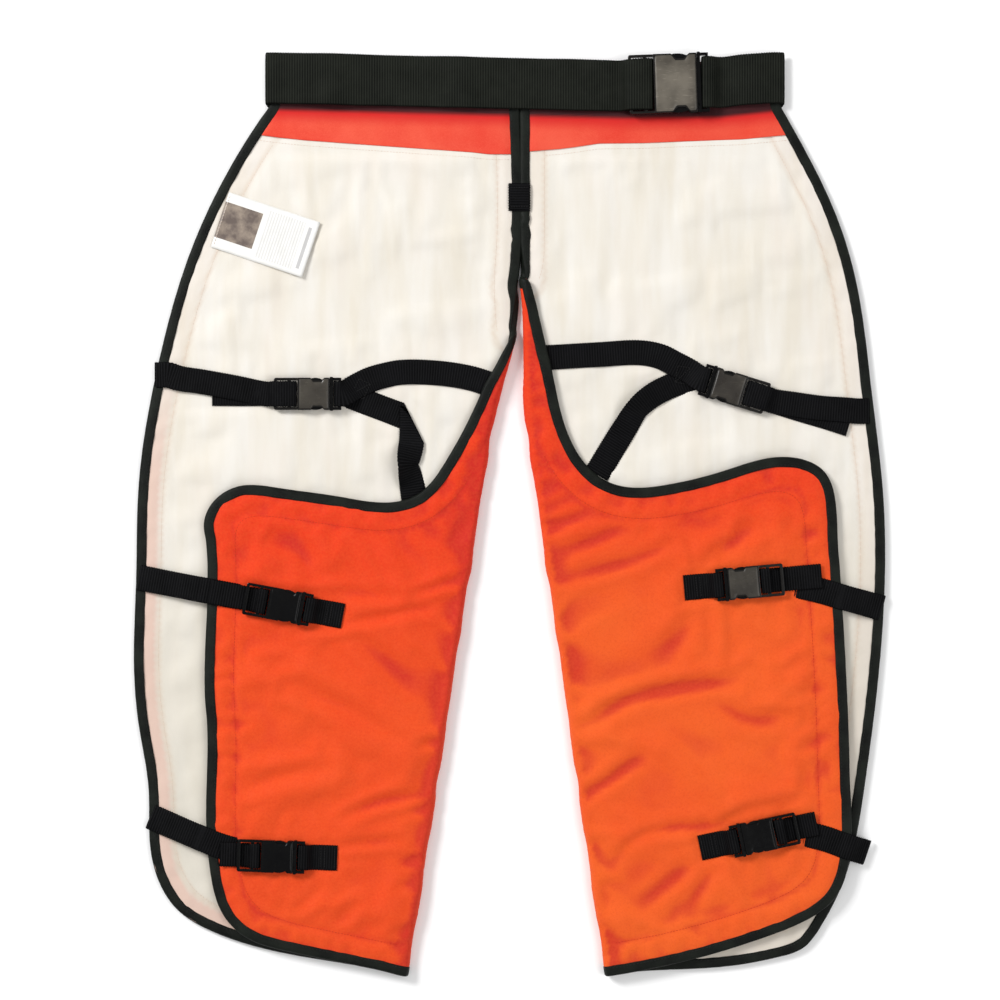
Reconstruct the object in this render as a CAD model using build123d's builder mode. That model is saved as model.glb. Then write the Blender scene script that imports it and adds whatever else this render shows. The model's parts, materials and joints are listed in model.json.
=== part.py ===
from build123d import *
import os

# Chainsaw chaps with calf wraps, lying flat with the lining side up. Millimetres.
# +Y points to the waist, +X to the right and +Z up. The origin is the bottom centre of the box.

# ---- driving dimensions -----------------------------------------------------------------------
TAPE = 0.8                # thickness of the binding tape
TAPE_WIDE = 10.0          # width of one side of the folded binding tape
PANEL = 7.0               # thickness of a bound edge, and of the whole panel
SHELL = 1.8               # outer fabric, between the binding's lower flange and the pad
SHELL_EDGE = 1.0          # outer fabric where the binding folds over it
LINING = 0.6
PAD_INSET = 24.0          # the protective pad stops this far inside the edge
FOLD_GAP = 0.3            # between a leg panel and the calf wrap folded over it
WRAP_Z = PANEL + FOLD_GAP
WRAP_TOP = WRAP_Z + PANEL
WAISTBAND = 50.0          # height of the casing that holds the belt
CHORDS = 4                # straight chords between two points of a smooth edge

STRAP = 25.0              # thigh and calf webbing
BELT = 50.0               # belt webbing
PLY = 1.2                 # thickness of one ply of strap webbing
BELT_PLY = 1.4
CLEAR = 0.3               # between webbing plies on different bodies
TAIL_Z = PANEL + CLEAR                      # loose tail under a thigh strap or the belt
STRAP_Z = TAIL_Z + PLY + CLEAR              # thigh strap above its tail
BELT_Z = TAIL_Z + BELT_PLY + CLEAR
BELT_FRONT_Z = SHELL + 0.4                  # front ply of the belt, inside the waist casing
HEM_Z = 4.0                                 # a strap that hooks round the edge is sewn on here
CALF_STRAP_Z = WRAP_TOP + CLEAR             # calf strap above the wrap
THIGH_BUCKLE_Z = TAIL_Z + PLY + 2.5 * CLEAR
BELT_BUCKLE_Z = TAIL_Z + BELT_PLY + 2.5 * CLEAR
CALF_BUCKLE_Z = CALF_STRAP_Z + PLY + CLEAR

# ---- outlines ---------------------------------------------------------------------------------
# Each outline is a closed ring of runs: a run of two points is straight, a longer one is smooth.
LEFT_FOLD = ((-104.7, -445.6), (-12.1, 156.3))      # from the hem up to the inner thigh
RIGHT_FOLD = ((98.9, -445.6), (13.0, 152.0))
CENTRE = 9.2                                        # the line where the two legs meet
WAIST = 441.0                                       # top of both leg panels

LEFT_LEG = [
    [(CENTRE - 0.5, WAIST), (-231.0, WAIST)],
    [(-231.0, WAIST), (-231.0, 396.0)],
    [(-231.0, 396.0), (-262.0, 349.0), (-308.0, 255.0), (-341.0, 139.0), (-359.0, 23.0),
     (-361.0, -60.0), (-363.3, -141.0), (-358.0, -208.0), (-349.0, -266.0), (-347.5, -322.0),
     (-338.0, -358.0), (-320.0, -384.0), (-291.0, -402.0), (-250.0, -417.0), (-173.0, -432.5),
     LEFT_FOLD[0]],
    [LEFT_FOLD[0], LEFT_FOLD[1]],
    [LEFT_FOLD[1], (-1.4, 163.0), (6.3, 192.0), (CENTRE - 0.5, 225.0)],
    [(CENTRE - 0.5, 225.0), (CENTRE - 0.5, WAIST)],
]
RIGHT_LEG = [
    [(CENTRE + 0.5, WAIST), (260.5, WAIST)],
    [(260.5, WAIST), (261.0, 396.0)],
    [(261.0, 396.0), (291.0, 342.0), (317.0, 286.0), (335.0, 226.0), (350.0, 120.0),
     (362.0, 10.0), (363.3, -44.0), (357.5, -150.0), (343.0, -266.0), (334.5, -316.0),
     (322.0, -358.0), (306.0, -390.0), (283.0, -416.0), (246.0, -431.5), (174.0, -440.0),
     RIGHT_FOLD[0]],
    [RIGHT_FOLD[0], RIGHT_FOLD[1]],
    [RIGHT_FOLD[1], (CENTRE + 0.5, 175.0)],
    [(CENTRE + 0.5, 175.0), (CENTRE + 0.5, WAIST)],
]
LEFT_WRAP = [
    [LEFT_FOLD[1], LEFT_FOLD[0]],
    [LEFT_FOLD[0], (-163.6, -432.5), (-216.6, -421.5), (-252.0, -410.0), (-277.4, -385.0),
     (-288.0, -350.0), (-292.5, -305.0), (-293.8, -180.0)],
    [(-293.8, -180.0), (-292.9, -25.0)],
    [(-292.9, -25.0), (-289.0, 8.0), (-265.0, 26.0), (-221.5, 25.0), (-165.0, 17.0),
     (-112.0, 11.5), (-91.0, 17.5), (-61.5, 51.0), (-30.4, 110.0), LEFT_FOLD[1]],
]
RIGHT_WRAP = [
    [RIGHT_FOLD[1], RIGHT_FOLD[0]],
    [RIGHT_FOLD[0], (145.0, -437.0), (199.5, -423.5), (251.5, -406.5), (294.0, -387.5),
     (316.0, -368.0), (326.5, -340.0), (330.0, -295.0), (328.0, -237.0)],
    [(328.0, -237.0), (318.0, -44.0)],
    [(318.0, -44.0), (315.0, 8.0), (303.0, 42.0), (275.0, 54.5), (203.0, 40.5), (150.0, 28.0),
     (118.0, 25.5), (92.0, 32.5), (62.0, 65.0), (45.8, 115.0), (40.5, 141.0)],
    [(40.5, 141.0), RIGHT_FOLD[1]],
]

# ---- buckles: where the two halves meet, and the way from the male half to the female --------
# name: (x, y, direction in degrees, base height, webbing width, length of the loose tail)
BUCKLES = {
    "belt": (180.9, 415.7, 182.0, BELT_BUCKLE_Z, BELT, 150.0),
    "thigh_left": (-173.2, 115.8, 180.0, THIGH_BUCKLE_Z, STRAP, 60.0),
    "thigh_right": (196.2, 126.7, -17.0, THIGH_BUCKLE_Z, STRAP, 84.0),
    "calf_left_upper": (-201.7, -90.7, 169.5, CALF_BUCKLE_Z, STRAP, 34.0),
    "calf_left_lower": (-208.0, -330.0, 178.0, CALF_BUCKLE_Z, STRAP, 17.0),
    "calf_right_upper": (209.9, -67.5, 5.0, CALF_BUCKLE_Z, STRAP, 37.0),
    "calf_right_lower": (224.4, -313.1, 12.0, CALF_BUCKLE_Z, STRAP, 19.0),
}


class BuckleSize:
    """Sizes of a side-release buckle for one webbing width, along its own axis u and across v."""

    def __init__(self, webbing):
        big = webbing > STRAP
        self.webbing = webbing
        self.half = webbing / 2 + (3.5 if big else 3.0)     # half the width over the sides
        self.tall = 9.0 if big else 7.0
        self.plate = 1.6 if big else 1.4                    # top and bottom plates
        self.body = 42.0 if big else 31.0                   # female body, mouth to end wall
        self.ladder = 24.0 if big else 23.0                 # strap adjuster beyond the body
        self.rail = 2.6                                     # side rails and posts
        self.bar = 2.8                                      # bars that the webbing goes round
        self.low = 1.8                                      # underside of the bars
        self.high = self.tall - 1.4                         # top of the bars
        self.wall = 0.6 * self.body                         # side walls start here
        self.depth = self.body - 5.0                        # how far the prongs reach in
        self.root = self.half - 6.5                         # prong knuckles, off the middle
        self.bar_u = self.body + 7.0                        # adjuster's middle bar


KNUCKLE = 1.6             # radius of a prong's root, in a socket with a running clearance
KNUCKLE_CLEAR = 0.06
GRIP = 0.15               # between a buckle bar and the webbing round it
MALE_BACK = 11.0          # male base, from its webbing bar to the mouth
MALE_WALL = 3.2
TONGUE = 5.0              # width of the middle tongue between the prongs


def chords(run):
    """The points of a run: the two ends of a straight one, or short chords of a smooth one."""
    if len(run) == 2:
        return run
    curve = Spline(*run, mode=Mode.PRIVATE)
    count = CHORDS * (len(run) - 1)
    return [curve @ (i / count) for i in range(count + 1)]


def ring(runs):
    """The closed face inside a ring of straight and smooth runs."""
    with BuildSketch() as plan:
        with BuildLine():
            for run in runs:
                Polyline(*chords(run))
        make_face()
    return plan.sketch


def inset(plan, amount):
    """The same face, smaller by amount all round."""
    return offset(plan, amount=-amount, kind=Kind.ARC, mode=Mode.PRIVATE)


def band_along(line, half):
    """A rectangle along a line, past its upper end, for leaving a fold without binding."""
    start, end = Vector(*line[0]), Vector(*line[1])
    middle = (start + end) / 2 + (end - start).normalized() * TAPE_WIDE
    turn = Vector(1, 0).get_signed_angle(end - start, Vector(0, 0, 1))
    with BuildSketch() as strip:
        with Locations(Location((middle.X, middle.Y), turn)):
            Rectangle((end - start).length, 2 * half)
    return strip.sketch


def slab(plan, low, high):
    """A flat layer with the given plan between two heights."""
    with BuildPart() as layer:
        with BuildSketch(Plane.XY.offset(low)):
            add(plan)
        extrude(amount=high - low)
    return layer.part


def write(part, label):
    part.label = label
    export_step(part, f"parts/{label}.step")


# ---- panels -----------------------------------------------------------------------------------
def binding(plan, fold, base, top_limit):
    """Binding tape folded over an edge: two flanges and a wall, left out along the fold."""
    unbound = band_along(fold, 1.5 * TAPE_WIDE)
    flange, wall = inset(plan, TAPE_WIDE), inset(plan, TAPE)
    with BuildPart() as tape:
        for low, high, inner in ((0, TAPE, flange), (TAPE, PANEL - TAPE, wall),
                                 (PANEL - TAPE, PANEL, flange)):
            with BuildSketch(Plane.XY.offset(base + low)):
                add(plan)
                add(inner, mode=Mode.SUBTRACT)
                add(unbound, mode=Mode.SUBTRACT)
                with Locations((0, top_limit + 100)):
                    Rectangle(900, 200, mode=Mode.SUBTRACT)
            extrude(amount=high - low)
    return tape.part


def shell(plan, base, flipped):
    """Outer fabric: thinner where the binding holds it. Its outer face is down, or up if flipped."""
    main = (0, SHELL) if not flipped else (PANEL - SHELL, PANEL)
    edge = (SHELL - SHELL_EDGE, SHELL)
    if flipped:
        edge = (PANEL - SHELL, PANEL - SHELL + SHELL_EDGE)
    inside_tape, rim = inset(plan, TAPE_WIDE + CLEAR), inset(plan, 2 * SHELL_EDGE)
    with BuildPart() as fabric:
        with BuildSketch(Plane.XY.offset(base + main[0])):
            add(inside_tape)
        extrude(amount=main[1] - main[0])
        with BuildSketch(Plane.XY.offset(base + edge[0])):
            add(rim)
        extrude(amount=edge[1] - edge[0])
    return fabric.part


def below(plan, limit):
    """The part of a plan below a height in Y."""
    with BuildSketch() as cut:
        add(plan)
        with Locations((0, limit + 200)):
            Rectangle(1000, 400, mode=Mode.SUBTRACT)
    return cut.sketch


BELT_LOW = WAIST - WAISTBAND                 # bottom of the casing
PAD_TOP = BELT_LOW - 12.0
legs = {"left": (ring(LEFT_LEG), LEFT_FOLD), "right": (ring(RIGHT_LEG), RIGHT_FOLD)}
wraps = {"left": (ring(LEFT_WRAP), LEFT_FOLD), "right": (ring(RIGHT_WRAP), RIGHT_FOLD)}


def both(parts):
    """Two matching pieces as one group of separate solids."""
    return Compound(children=[Compound(p.wrapped) for p in parts])


def make_panels():
    pads, linings, bindings, facings = [], [], [], []
    for side, (plan, fold) in legs.items():
        write(shell(plan, 0, flipped=False), f"{side}_leg_shell")
        pads.append(slab(below(inset(plan, PAD_INSET), PAD_TOP), SHELL, PANEL - TAPE - LINING))
        linings.append(slab(inset(plan, 2.0), PANEL - TAPE - LINING, PANEL - TAPE))
        bindings.append(binding(plan, fold, 0, BELT_LOW))
        facings.append(slab(facing_plan(plan, side), PANEL - TAPE, PANEL - TAPE + LINING))
    for group, name in ((pads, "leg_pads"), (linings, "leg_linings"),
                        (bindings, "leg_bindings"), (facings, "waist_facing")):
        write(both(group), name)
    for side, (plan, fold) in wraps.items():
        write(shell(plan, WRAP_Z, flipped=True), f"{side}_wrap_shell")
        low = WRAP_Z + TAPE
        write(slab(inset(plan, 2.0), low, low + LINING), f"{side}_wrap_lining")
        write(slab(inset(plan, PAD_INSET), low + LINING, WRAP_TOP - SHELL), f"{side}_wrap_pad")
        write(binding(plan, fold, WRAP_Z, WAIST), f"{side}_wrap_binding")


def facing_plan(plan, side):
    """The waist facing: the top of a leg panel down to a slightly slanted lower edge."""
    corners = {"left": [(-400.0, 368.5), (CENTRE, 348.5)], "right": [(CENTRE, 348.5), (400.0, 376.5)]}
    edge = corners[side]
    inside_tape = inset(plan, TAPE_WIDE + CLEAR)
    with BuildSketch() as face:
        add(inside_tape)
        with BuildLine():
            Polyline(*edge, (edge[1][0], -600), (edge[0][0], -600), close=True)
        make_face(mode=Mode.SUBTRACT)
    return face.sketch


# ---- buckle pieces, in the buckle's own frame: u along X, v along Y, up along Z ------------------
def female_half(size):
    """Body with two plates and side walls, and the adjuster with its two bars."""
    end_wall = 2.0
    rail_v = size.half - size.rail / 2
    with BuildPart() as female:
        for low in (0, size.tall - size.plate):
            with BuildSketch(Plane.XY.offset(low)):
                with BuildLine():
                    Polyline(*female_plate(size), close=True)
                make_face()
            extrude(amount=size.plate)
        with BuildSketch():
            long = size.body - size.wall
            with Locations(*[(size.wall + long / 2, s * (size.half - 0.9)) for s in (-1, 1)]):
                Rectangle(long, 1.8)
            with Locations((size.body - end_wall / 2, 0)):
                Rectangle(end_wall, 2 * size.half)
        extrude(amount=size.tall)
        with BuildSketch(Plane.XY.offset(size.low)):
            with Locations(*[(size.body + size.ladder / 2, s * rail_v) for s in (-1, 1)]):
                Rectangle(size.ladder, size.rail)
            with Locations((size.bar_u + size.bar / 2, 0),
                           (size.body + size.ladder - size.bar / 2, 0)):
                Rectangle(size.bar, 2 * size.half)
        extrude(amount=size.high - size.low)
        outer = female.edges().filter_by(Axis.Z).group_by(Axis.X)[-1]
        fillet(outer, 2.0)
    return female.part


def female_plate(size):
    """Outline of a plate, with a notch each side where the prong's shoulders show."""
    notch = 0.09 * 2 * size.half
    start, end = 0.17 * size.body, size.wall
    side = [(0.3, size.half), (start, size.half), (start + notch, size.half - notch),
            (end - notch, size.half - notch), (end, size.half), (size.body, size.half)]
    return side + [(u, -v) for u, v in reversed(side)]


def male_base(size):
    """Base with its webbing bar, flared ears at the mouth, prong sockets and a middle tongue."""
    rail_v = size.half - size.rail / 2
    middle = (size.tall - 2 * size.plate) / 2
    with BuildPart() as male:
        with BuildSketch(Plane.XY.offset(size.low)):
            with Locations(*[(-MALE_BACK / 2, s * rail_v) for s in (-1, 1)]):
                Rectangle(MALE_BACK, size.rail)
            with Locations((size.bar / 2 - MALE_BACK, 0)):
                Rectangle(size.bar, 2 * size.half)
        extrude(amount=size.high - size.low)
        with BuildSketch():
            with Locations((-MALE_WALL / 2, 0)):
                RectangleRounded(MALE_WALL, 2 * size.half + 1.6, 1.0)
        extrude(amount=size.tall)
        with BuildSketch(Plane.XY.offset(size.plate + CLEAR)):
            with Locations((size.depth * 0.4, 0)):
                Rectangle(size.depth * 0.8, TONGUE)
            with Locations((size.depth * 0.8, 0)):
                Circle(TONGUE / 2)
        extrude(amount=2 * middle - 2 * CLEAR)
        with BuildSketch():
            with Locations(*[(0, s * size.root) for s in (-1, 1)]):
                Circle(KNUCKLE + KNUCKLE_CLEAR)
                with Locations((KNUCKLE, 0)):
                    Rectangle(2 * KNUCKLE, 2 * KNUCKLE + 2 * KNUCKLE_CLEAR)
        extrude(amount=size.tall, mode=Mode.SUBTRACT)
    return male.part


def prong(size, side):
    """A springy prong: round root knuckle, slim arm, a shoulder to squeeze and a tapered tip."""
    root, edge = size.root, size.half - 0.5
    inner = root - 1.2
    barb, tip = size.wall - 1.0, size.depth
    with BuildPart() as arm:
        with BuildSketch(Plane.XY.offset(size.plate + CLEAR)):
            Circle(KNUCKLE)
            with BuildLine():
                Polyline((0.0, -1.2), (barb, inner + 0.6 - root), (tip, inner + 1.6 - root),
                         (tip + 0.8, inner + 2.6 - root), (tip, inner + 3.6 - root),
                         (barb, size.half - 3.0 - root))
                Line((barb, size.half - 3.0 - root), (barb, edge - root))
                ThreePointArc((barb, edge - root), (0.55 * barb, edge - root - 0.2),
                              (0.3 * barb, 1.6 + 0.4 * (edge - root - 1.6)))
                Polyline((0.3 * barb, 1.6 + 0.4 * (edge - root - 1.6)), (0.18 * barb, 1.4),
                         (0.0, 1.2), (0.0, -1.2))
            make_face()
            if side < 0:
                mirror(about=Plane.XZ, mode=Mode.REPLACE)
        extrude(amount=size.tall - 2 * size.plate - 2 * CLEAR)
    return Pos(0, side * root, 0) * arm.part


# ---- webbing ----------------------------------------------------------------------------------
def flat_ply(points, low, thick, wide):
    """Webbing that lies flat, along a route of straight runs seen from above."""
    with BuildPart() as ply:
        with BuildSketch(Plane.XY.offset(low)):
            with BuildLine():
                Polyline(*points)
            trace(line_width=wide)
        extrude(amount=thick)
    return ply.part


def raised_ply(frame, points, thick, wide):
    """Webbing that rises and turns, along a route of straight runs seen from the side."""
    side = Plane(origin=frame.origin, x_dir=frame.x_dir, z_dir=-frame.y_dir)
    with BuildPart() as ply:
        with BuildSketch(side):
            with BuildLine():
                Polyline(*points)
            trace(line_width=thick)
        extrude(amount=wide / 2, both=True)
    return ply.part


def buckle_frame(name):
    x, y, angle, base = BUCKLES[name][:4]
    return Plane(origin=(x, y, base), x_dir=Vector(1, 0, 0).rotate(Axis.Z, angle))


def at(name, u, v=0.0):
    """The plan position of a point given in a buckle's own axes."""
    point = buckle_frame(name).from_local_coords(Vector(u, v, 0))
    return (point.X, point.Y)


def male_loop(size, foot_u, foot_w, thick):
    """Side route of webbing from its foot up over the male bar and back under it."""
    over = size.high + thick / 2 + GRIP
    under = size.low - thick / 2 - GRIP
    slot = size.bar - MALE_BACK + thick / 2 + 0.5
    rise = -MALE_BACK - 1.5
    return [(foot_u, foot_w), (rise - 6.0, foot_w), (rise, over), (slot, over), (slot, under),
            (rise + 1.0, under)]


def ladder_over(size, from_u, from_w, thick):
    """Side route of webbing over the adjuster's end bar and down past its middle bar."""
    over = size.high + thick / 2 + GRIP
    end = size.body + size.ladder
    slot = size.bar_u - thick / 2 - 0.5
    return [(from_u, from_w), (end + 6.0, from_w), (end + 1.0, over), (slot, over),
            (slot, size.low)]


def ladder_under(size, from_u, from_w, thick):
    """Side route of webbing under the adjuster, up past its middle bar and over that bar."""
    over = size.high + thick / 2 + GRIP
    slot = size.bar_u - thick / 2 - 0.5
    return [(from_u, from_w), (slot, from_w), (slot, over), (size.bar_u + size.bar, over)]


def join(*pieces):
    """Touching pieces of one strap as a single solid."""
    with BuildPart() as strap:
        for piece in pieces:
            add(piece)
    return strap.part


def make_buckles():
    """Every female half and prong, and the male halves: the two on a calf wrap share a group."""
    males = {}
    for name, (_, _, _, _, webbing, _) in BUCKLES.items():
        size, place = BuckleSize(webbing), buckle_frame(name).location
        write(female_half(size).moved(place), f"{name}_buckle_female")
        for side, end in ((1, "a"), (-1, "b")):
            write(prong(size, side).moved(place), f"{name}_buckle_prong_{end}")
        group = name.rsplit("_", 1)[0] if name.startswith("calf") else name
        males.setdefault(group, []).append(male_base(size).moved(place))
    for group, parts in males.items():
        piece = parts[0] if len(parts) == 1 else both(parts)
        write(piece, f"{group}_buckle_{'male' if len(parts) == 1 else 'males'}")


def make_belt():
    """Belt: a hidden front ply, a rear ply either side of the buckle, and the loose tail."""
    name = "belt"
    size, frame = BuckleSize(BELT), buckle_frame(name)
    front_z, thick = BELT_FRONT_Z, BELT_PLY
    left, right, low_y = -235.8, 265.6, 420.9
    write(flat_ply([(left + 4, low_y - 4.6), (right - 4, low_y - 4.6)], front_z, thick, BELT - 2),
          "belt_front")
    rear = BELT_Z + thick / 2
    end_u = size.body + size.ladder + 6.0
    meet = at(name, end_u)
    rear_local = rear - BELT_BUCKLE_Z
    left_end = flat_turn(left, low_y, front_z + thick / 2, rear, thick, -1)
    right_end = flat_turn(right, low_y, front_z + thick / 2, rear, thick, 1)
    write(join(left_end, flat_ply([(left + 3, low_y), meet], BELT_Z, thick, BELT),
               raised_ply(frame, ladder_over(size, end_u + 3, rear_local, thick), thick, BELT)),
          "belt_left")
    foot_u = -MALE_BACK - 12.0
    write(join(right_end, flat_ply([(right - 3, low_y), at(name, foot_u)], BELT_Z, thick, BELT),
               raised_ply(frame, male_loop(size, foot_u - 3, rear_local, thick), thick, BELT)),
          "belt_right")
    tail = TAIL_Z + thick / 2 - BELT_BUCKLE_Z
    write(raised_ply(frame, tail_route(size, name, tail, thick), thick, BELT - 1), "belt_tail")


def flat_turn(x, y, low, high, thick, way):
    """The end of the belt loop, folded from the front ply up to the rear ply."""
    side = Plane(origin=(x, y, 0), x_dir=(1, 0, 0), z_dir=(0, -1, 0))
    with BuildPart() as turn:
        with BuildSketch(side):
            with BuildLine():
                Polyline((-4 * way, low), (0, low), (0, high), (-4 * way, high))
            trace(line_width=thick)
        extrude(amount=BELT / 2, both=True)
    return turn.part


def tail_route(size, name, level, thick):
    """Side route of a loose tail that leaves the adjuster underneath, below the strap."""
    under = size.low - thick / 2 - 0.1
    start = size.bar_u + 0.6
    end = size.body + size.ladder
    return [(start, under), (start + 5.0, under), (start + 9.0, level),
            (end + BUCKLES[name][5], level)]


def make_thigh_straps():
    """Thigh straps: the outer strap, its tail, and the two-branched strap at the inner thigh."""
    thick = PLY
    feet = {"left": (-341.0, 134.0, -8.0), "right": (346.0, 99.4, 176.0)}
    outer = {
        "left": [(-298.7, 127.9), (-260.0, 121.0)],
        "right": [(299.6, 102.3), (272.0, 106.0)],
    }
    upper = {
        "left": [(-26.5, 128.3), (-38.1, 131.2), (-67.1, 135.6), (-105.7, 135.6),
                 (-129.8, 131.2), (-143.0, 125.5)],
        "right": [(44.5, 151.5), (87.3, 153.9), (142.3, 156.8), (164.5, 142.8)],
    }
    lower = {
        "left": [(-94.5, 27.5), (-95.1, 92.6), (-132.0, 103.5)],
        "right": [(91.5, 50.5), (125.9, 110.0), (150.1, 124.5), (163.0, 130.0)],
    }
    for side in ("left", "right"):
        name = f"thigh_{side}"
        size, frame = BuckleSize(STRAP), buckle_frame(name)
        rear = STRAP_Z + thick / 2 - THIGH_BUCKLE_Z
        end_u = size.body + size.ladder + 6.0
        x, y, angle = feet[side]
        foot = Plane(origin=(x, y, 0), x_dir=Vector(1, 0, 0).rotate(Axis.Z, angle))
        step = [(-1.5, PANEL + thick / 2), (6.0, PANEL + thick / 2),
                (9.0, STRAP_Z + thick / 2), (14.0, STRAP_Z + thick / 2)]
        start = foot.from_local_coords(Vector(10, 0, 0))
        route = [(start.X, start.Y)] + outer[side] + [at(name, end_u)]
        write(join(raised_ply(foot, step, thick, STRAP),
                   flat_ply(route, STRAP_Z, thick, STRAP),
                   raised_ply(frame, ladder_over(size, end_u + 3, rear, thick), thick, STRAP)),
              f"{name}_strap")
        tail = TAIL_Z + thick / 2 - THIGH_BUCKLE_Z
        write(raised_ply(frame, tail_route(size, name, tail, thick), thick, STRAP - 1),
              f"{name}_tail")
        foot_u = -MALE_BACK - 12.0
        level = PANEL + thick * 1.5 - THIGH_BUCKLE_Z
        write(join(flat_ply(upper[side] + [at(name, foot_u)], PANEL + thick, thick, STRAP),
                   flat_ply(lower[side] + [at(name, foot_u)], PANEL, thick, STRAP - 3),
                   raised_ply(frame, male_loop(size, foot_u - 2, level, thick), thick, STRAP)),
              f"{name}_y_strap")


def make_calf_straps():
    """Calf straps: a strap from the leg's outer edge, its tail, and the tab sewn to the wrap."""
    thick = PLY
    over = CALF_STRAP_Z + thick / 2
    on_leg = PANEL + thick / 2
    # Where each strap leaves the leg's edge, and how far from there it comes to lie on the wrap.
    # The strap with no climb hooks straight round the edge and stands up to the wrap's level.
    anchors = {
        "calf_left_upper": ((-355.0, -62.0), 52.0),
        "calf_left_lower": ((-343.5, -293.5), 40.0),
        "calf_right_upper": ((356.5, -90.0), 30.0),
        "calf_right_lower": ((341.5, -326.0), 0.0),
    }
    tabs, straps = {}, {}
    for name, (anchor, climb) in anchors.items():
        group = name.rsplit("_", 1)[0]
        size, frame = BuckleSize(STRAP), buckle_frame(name)
        base = BUCKLES[name][3]
        meet = Vector(*at(name, size.body + size.ladder - 4))
        start = Vector(*anchor)
        along = (meet - start).length
        line = Plane(origin=(start.X, start.Y, 0), x_dir=(meet - start))
        if climb:
            rise = [(-3.0, on_leg), (6.0, on_leg), (climb, over), (along, over)]
        else:
            rise = [(7.0, HEM_Z), (0.0, HEM_Z), (0.0, over), (along, over)]
        under = over - base
        strap = join(raised_ply(line, rise, thick, STRAP),
                     raised_ply(frame, ladder_under(size, size.body + size.ladder, under, thick),
                                thick, STRAP))
        straps.setdefault(group, []).append(strap)
        top = size.high + thick / 2 + GRIP
        out = thick / 2
        end = size.body + size.ladder
        fall = size.bar_u + size.bar + thick / 2 + 0.5
        tail = [(fall - 0.2, top - 0.8), (fall + 1.5, out), (end + BUCKLES[name][5], out)]
        write(raised_ply(frame, tail, thick, STRAP - 1), f"{name}_tail")
        level = WRAP_TOP + thick / 2 - base
        tab = raised_ply(frame, male_loop(size, -MALE_BACK - 31.0, level, thick), thick, STRAP)
        tabs.setdefault(group, []).append(tab)
    for group in straps:
        write(both(straps[group]), f"{group}_straps")
        write(both(tabs[group]), f"{group}_tabs")


# ---- crotch keeper and care label --------------------------------------------------------------
def make_keeper():
    """Webbing sewn across the two bindings at the crotch, which holds the legs together."""
    wide, long = 22.0, 27.0
    with BuildPart() as keeper:
        with BuildSketch(Plane.XY.offset(PANEL)):
            with Locations(Location((CENTRE + 0.3, 306.0), -2)):
                Rectangle(wide, long)
        extrude(amount=PLY)
    write(keeper.part, "crotch_keeper")


def make_label():
    """A care label on a card, sewn along its short left edge."""
    long, wide, thick = 93.0, 56.0, 0.5
    with BuildPart() as card:
        with BuildSketch(Plane.XY.offset(PANEL + CLEAR)):
            with Locations(Location((-237.0, 270.0), -18.5)):
                RectangleRounded(long, wide, 1.0)
        extrude(amount=thick)
    write(card.part, "care_label")


os.makedirs("parts", exist_ok=True)
make_panels()
make_buckles()
make_belt()
make_thigh_straps()
make_calf_straps()
make_keeper()
make_label()
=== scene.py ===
import json
import math
from collections import Counter

import bpy
import numpy as np
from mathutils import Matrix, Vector
from mathutils.bvhtree import BVHTree
from mathutils.geometry import delaunay_2d_cdt
from mathutils.kdtree import KDTree


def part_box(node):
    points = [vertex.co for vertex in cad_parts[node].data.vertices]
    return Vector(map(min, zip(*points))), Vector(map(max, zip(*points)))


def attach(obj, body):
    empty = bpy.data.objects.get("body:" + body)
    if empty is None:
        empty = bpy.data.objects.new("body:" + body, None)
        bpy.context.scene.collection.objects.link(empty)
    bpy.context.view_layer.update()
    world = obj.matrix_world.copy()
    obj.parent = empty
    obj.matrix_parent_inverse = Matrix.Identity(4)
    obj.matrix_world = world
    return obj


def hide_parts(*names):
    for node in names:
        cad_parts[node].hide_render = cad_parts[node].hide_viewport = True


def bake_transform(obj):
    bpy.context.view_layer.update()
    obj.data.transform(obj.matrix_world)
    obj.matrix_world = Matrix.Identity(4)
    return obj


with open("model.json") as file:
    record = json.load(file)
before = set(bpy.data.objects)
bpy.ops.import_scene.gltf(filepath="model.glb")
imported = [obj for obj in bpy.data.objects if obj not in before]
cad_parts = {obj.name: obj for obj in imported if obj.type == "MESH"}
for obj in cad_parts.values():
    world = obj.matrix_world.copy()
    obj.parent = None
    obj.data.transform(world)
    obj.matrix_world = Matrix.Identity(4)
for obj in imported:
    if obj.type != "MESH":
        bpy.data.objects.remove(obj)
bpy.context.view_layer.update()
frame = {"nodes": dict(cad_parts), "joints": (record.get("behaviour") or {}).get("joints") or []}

# Chainsaw chaps with calf wraps, lying flat with the lining side up.
# Lengths here are millimetres in the frame's axes; MM turns them into Blender's metres.
MM = 0.001
joints = {joint["name"]: joint for joint in frame["joints"]}
SIDES = ("left", "right")

# ---- sizes ------------------------------------------------------------------------------------
BUCKLES = {     # name: (webbing width, length of the loose tail), as the frame's buckles have it
    "belt": (50.0, 150.0),
    "thigh_left": (25.0, 60.0),
    "thigh_right": (25.0, 84.0),
    "calf_left_upper": (25.0, 34.0),
    "calf_left_lower": (25.0, 17.0),
    "calf_right_upper": (25.0, 37.0),
    "calf_right_lower": (25.0, 19.0),
}
GREY_PLATES = ("belt", "thigh_left", "thigh_right", "calf_right_upper")     # paler grey faces
PANEL = 7.0             # thickness of a bound edge
WAIST = 436.5           # top of the waist, hidden behind the belt
CENTRE = 9.2            # where the two legs meet
FOLD_R = 7.15           # outer radius where a calf wrap folds over
FOLD_ARC = math.pi * FOLD_R
LINING_INSET = 2.0      # the frame's linings stop this far inside the edge
CLOTH_STEP = 4.0        # spacing of the points in the sheets of cloth
PLY = 1.2
BELT_PLY = 1.4
RIB = 2.5               # spacing of the ribs across the webbing
HELD_EDGE = 9           # width of a cloth's edge that the tape holds down
CLOTH_INSET = 1.4       # the sheets of cloth stop this far inside the tape's outer edge
PAD_STEP = 14.0         # spacing of the points in the pads
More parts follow.
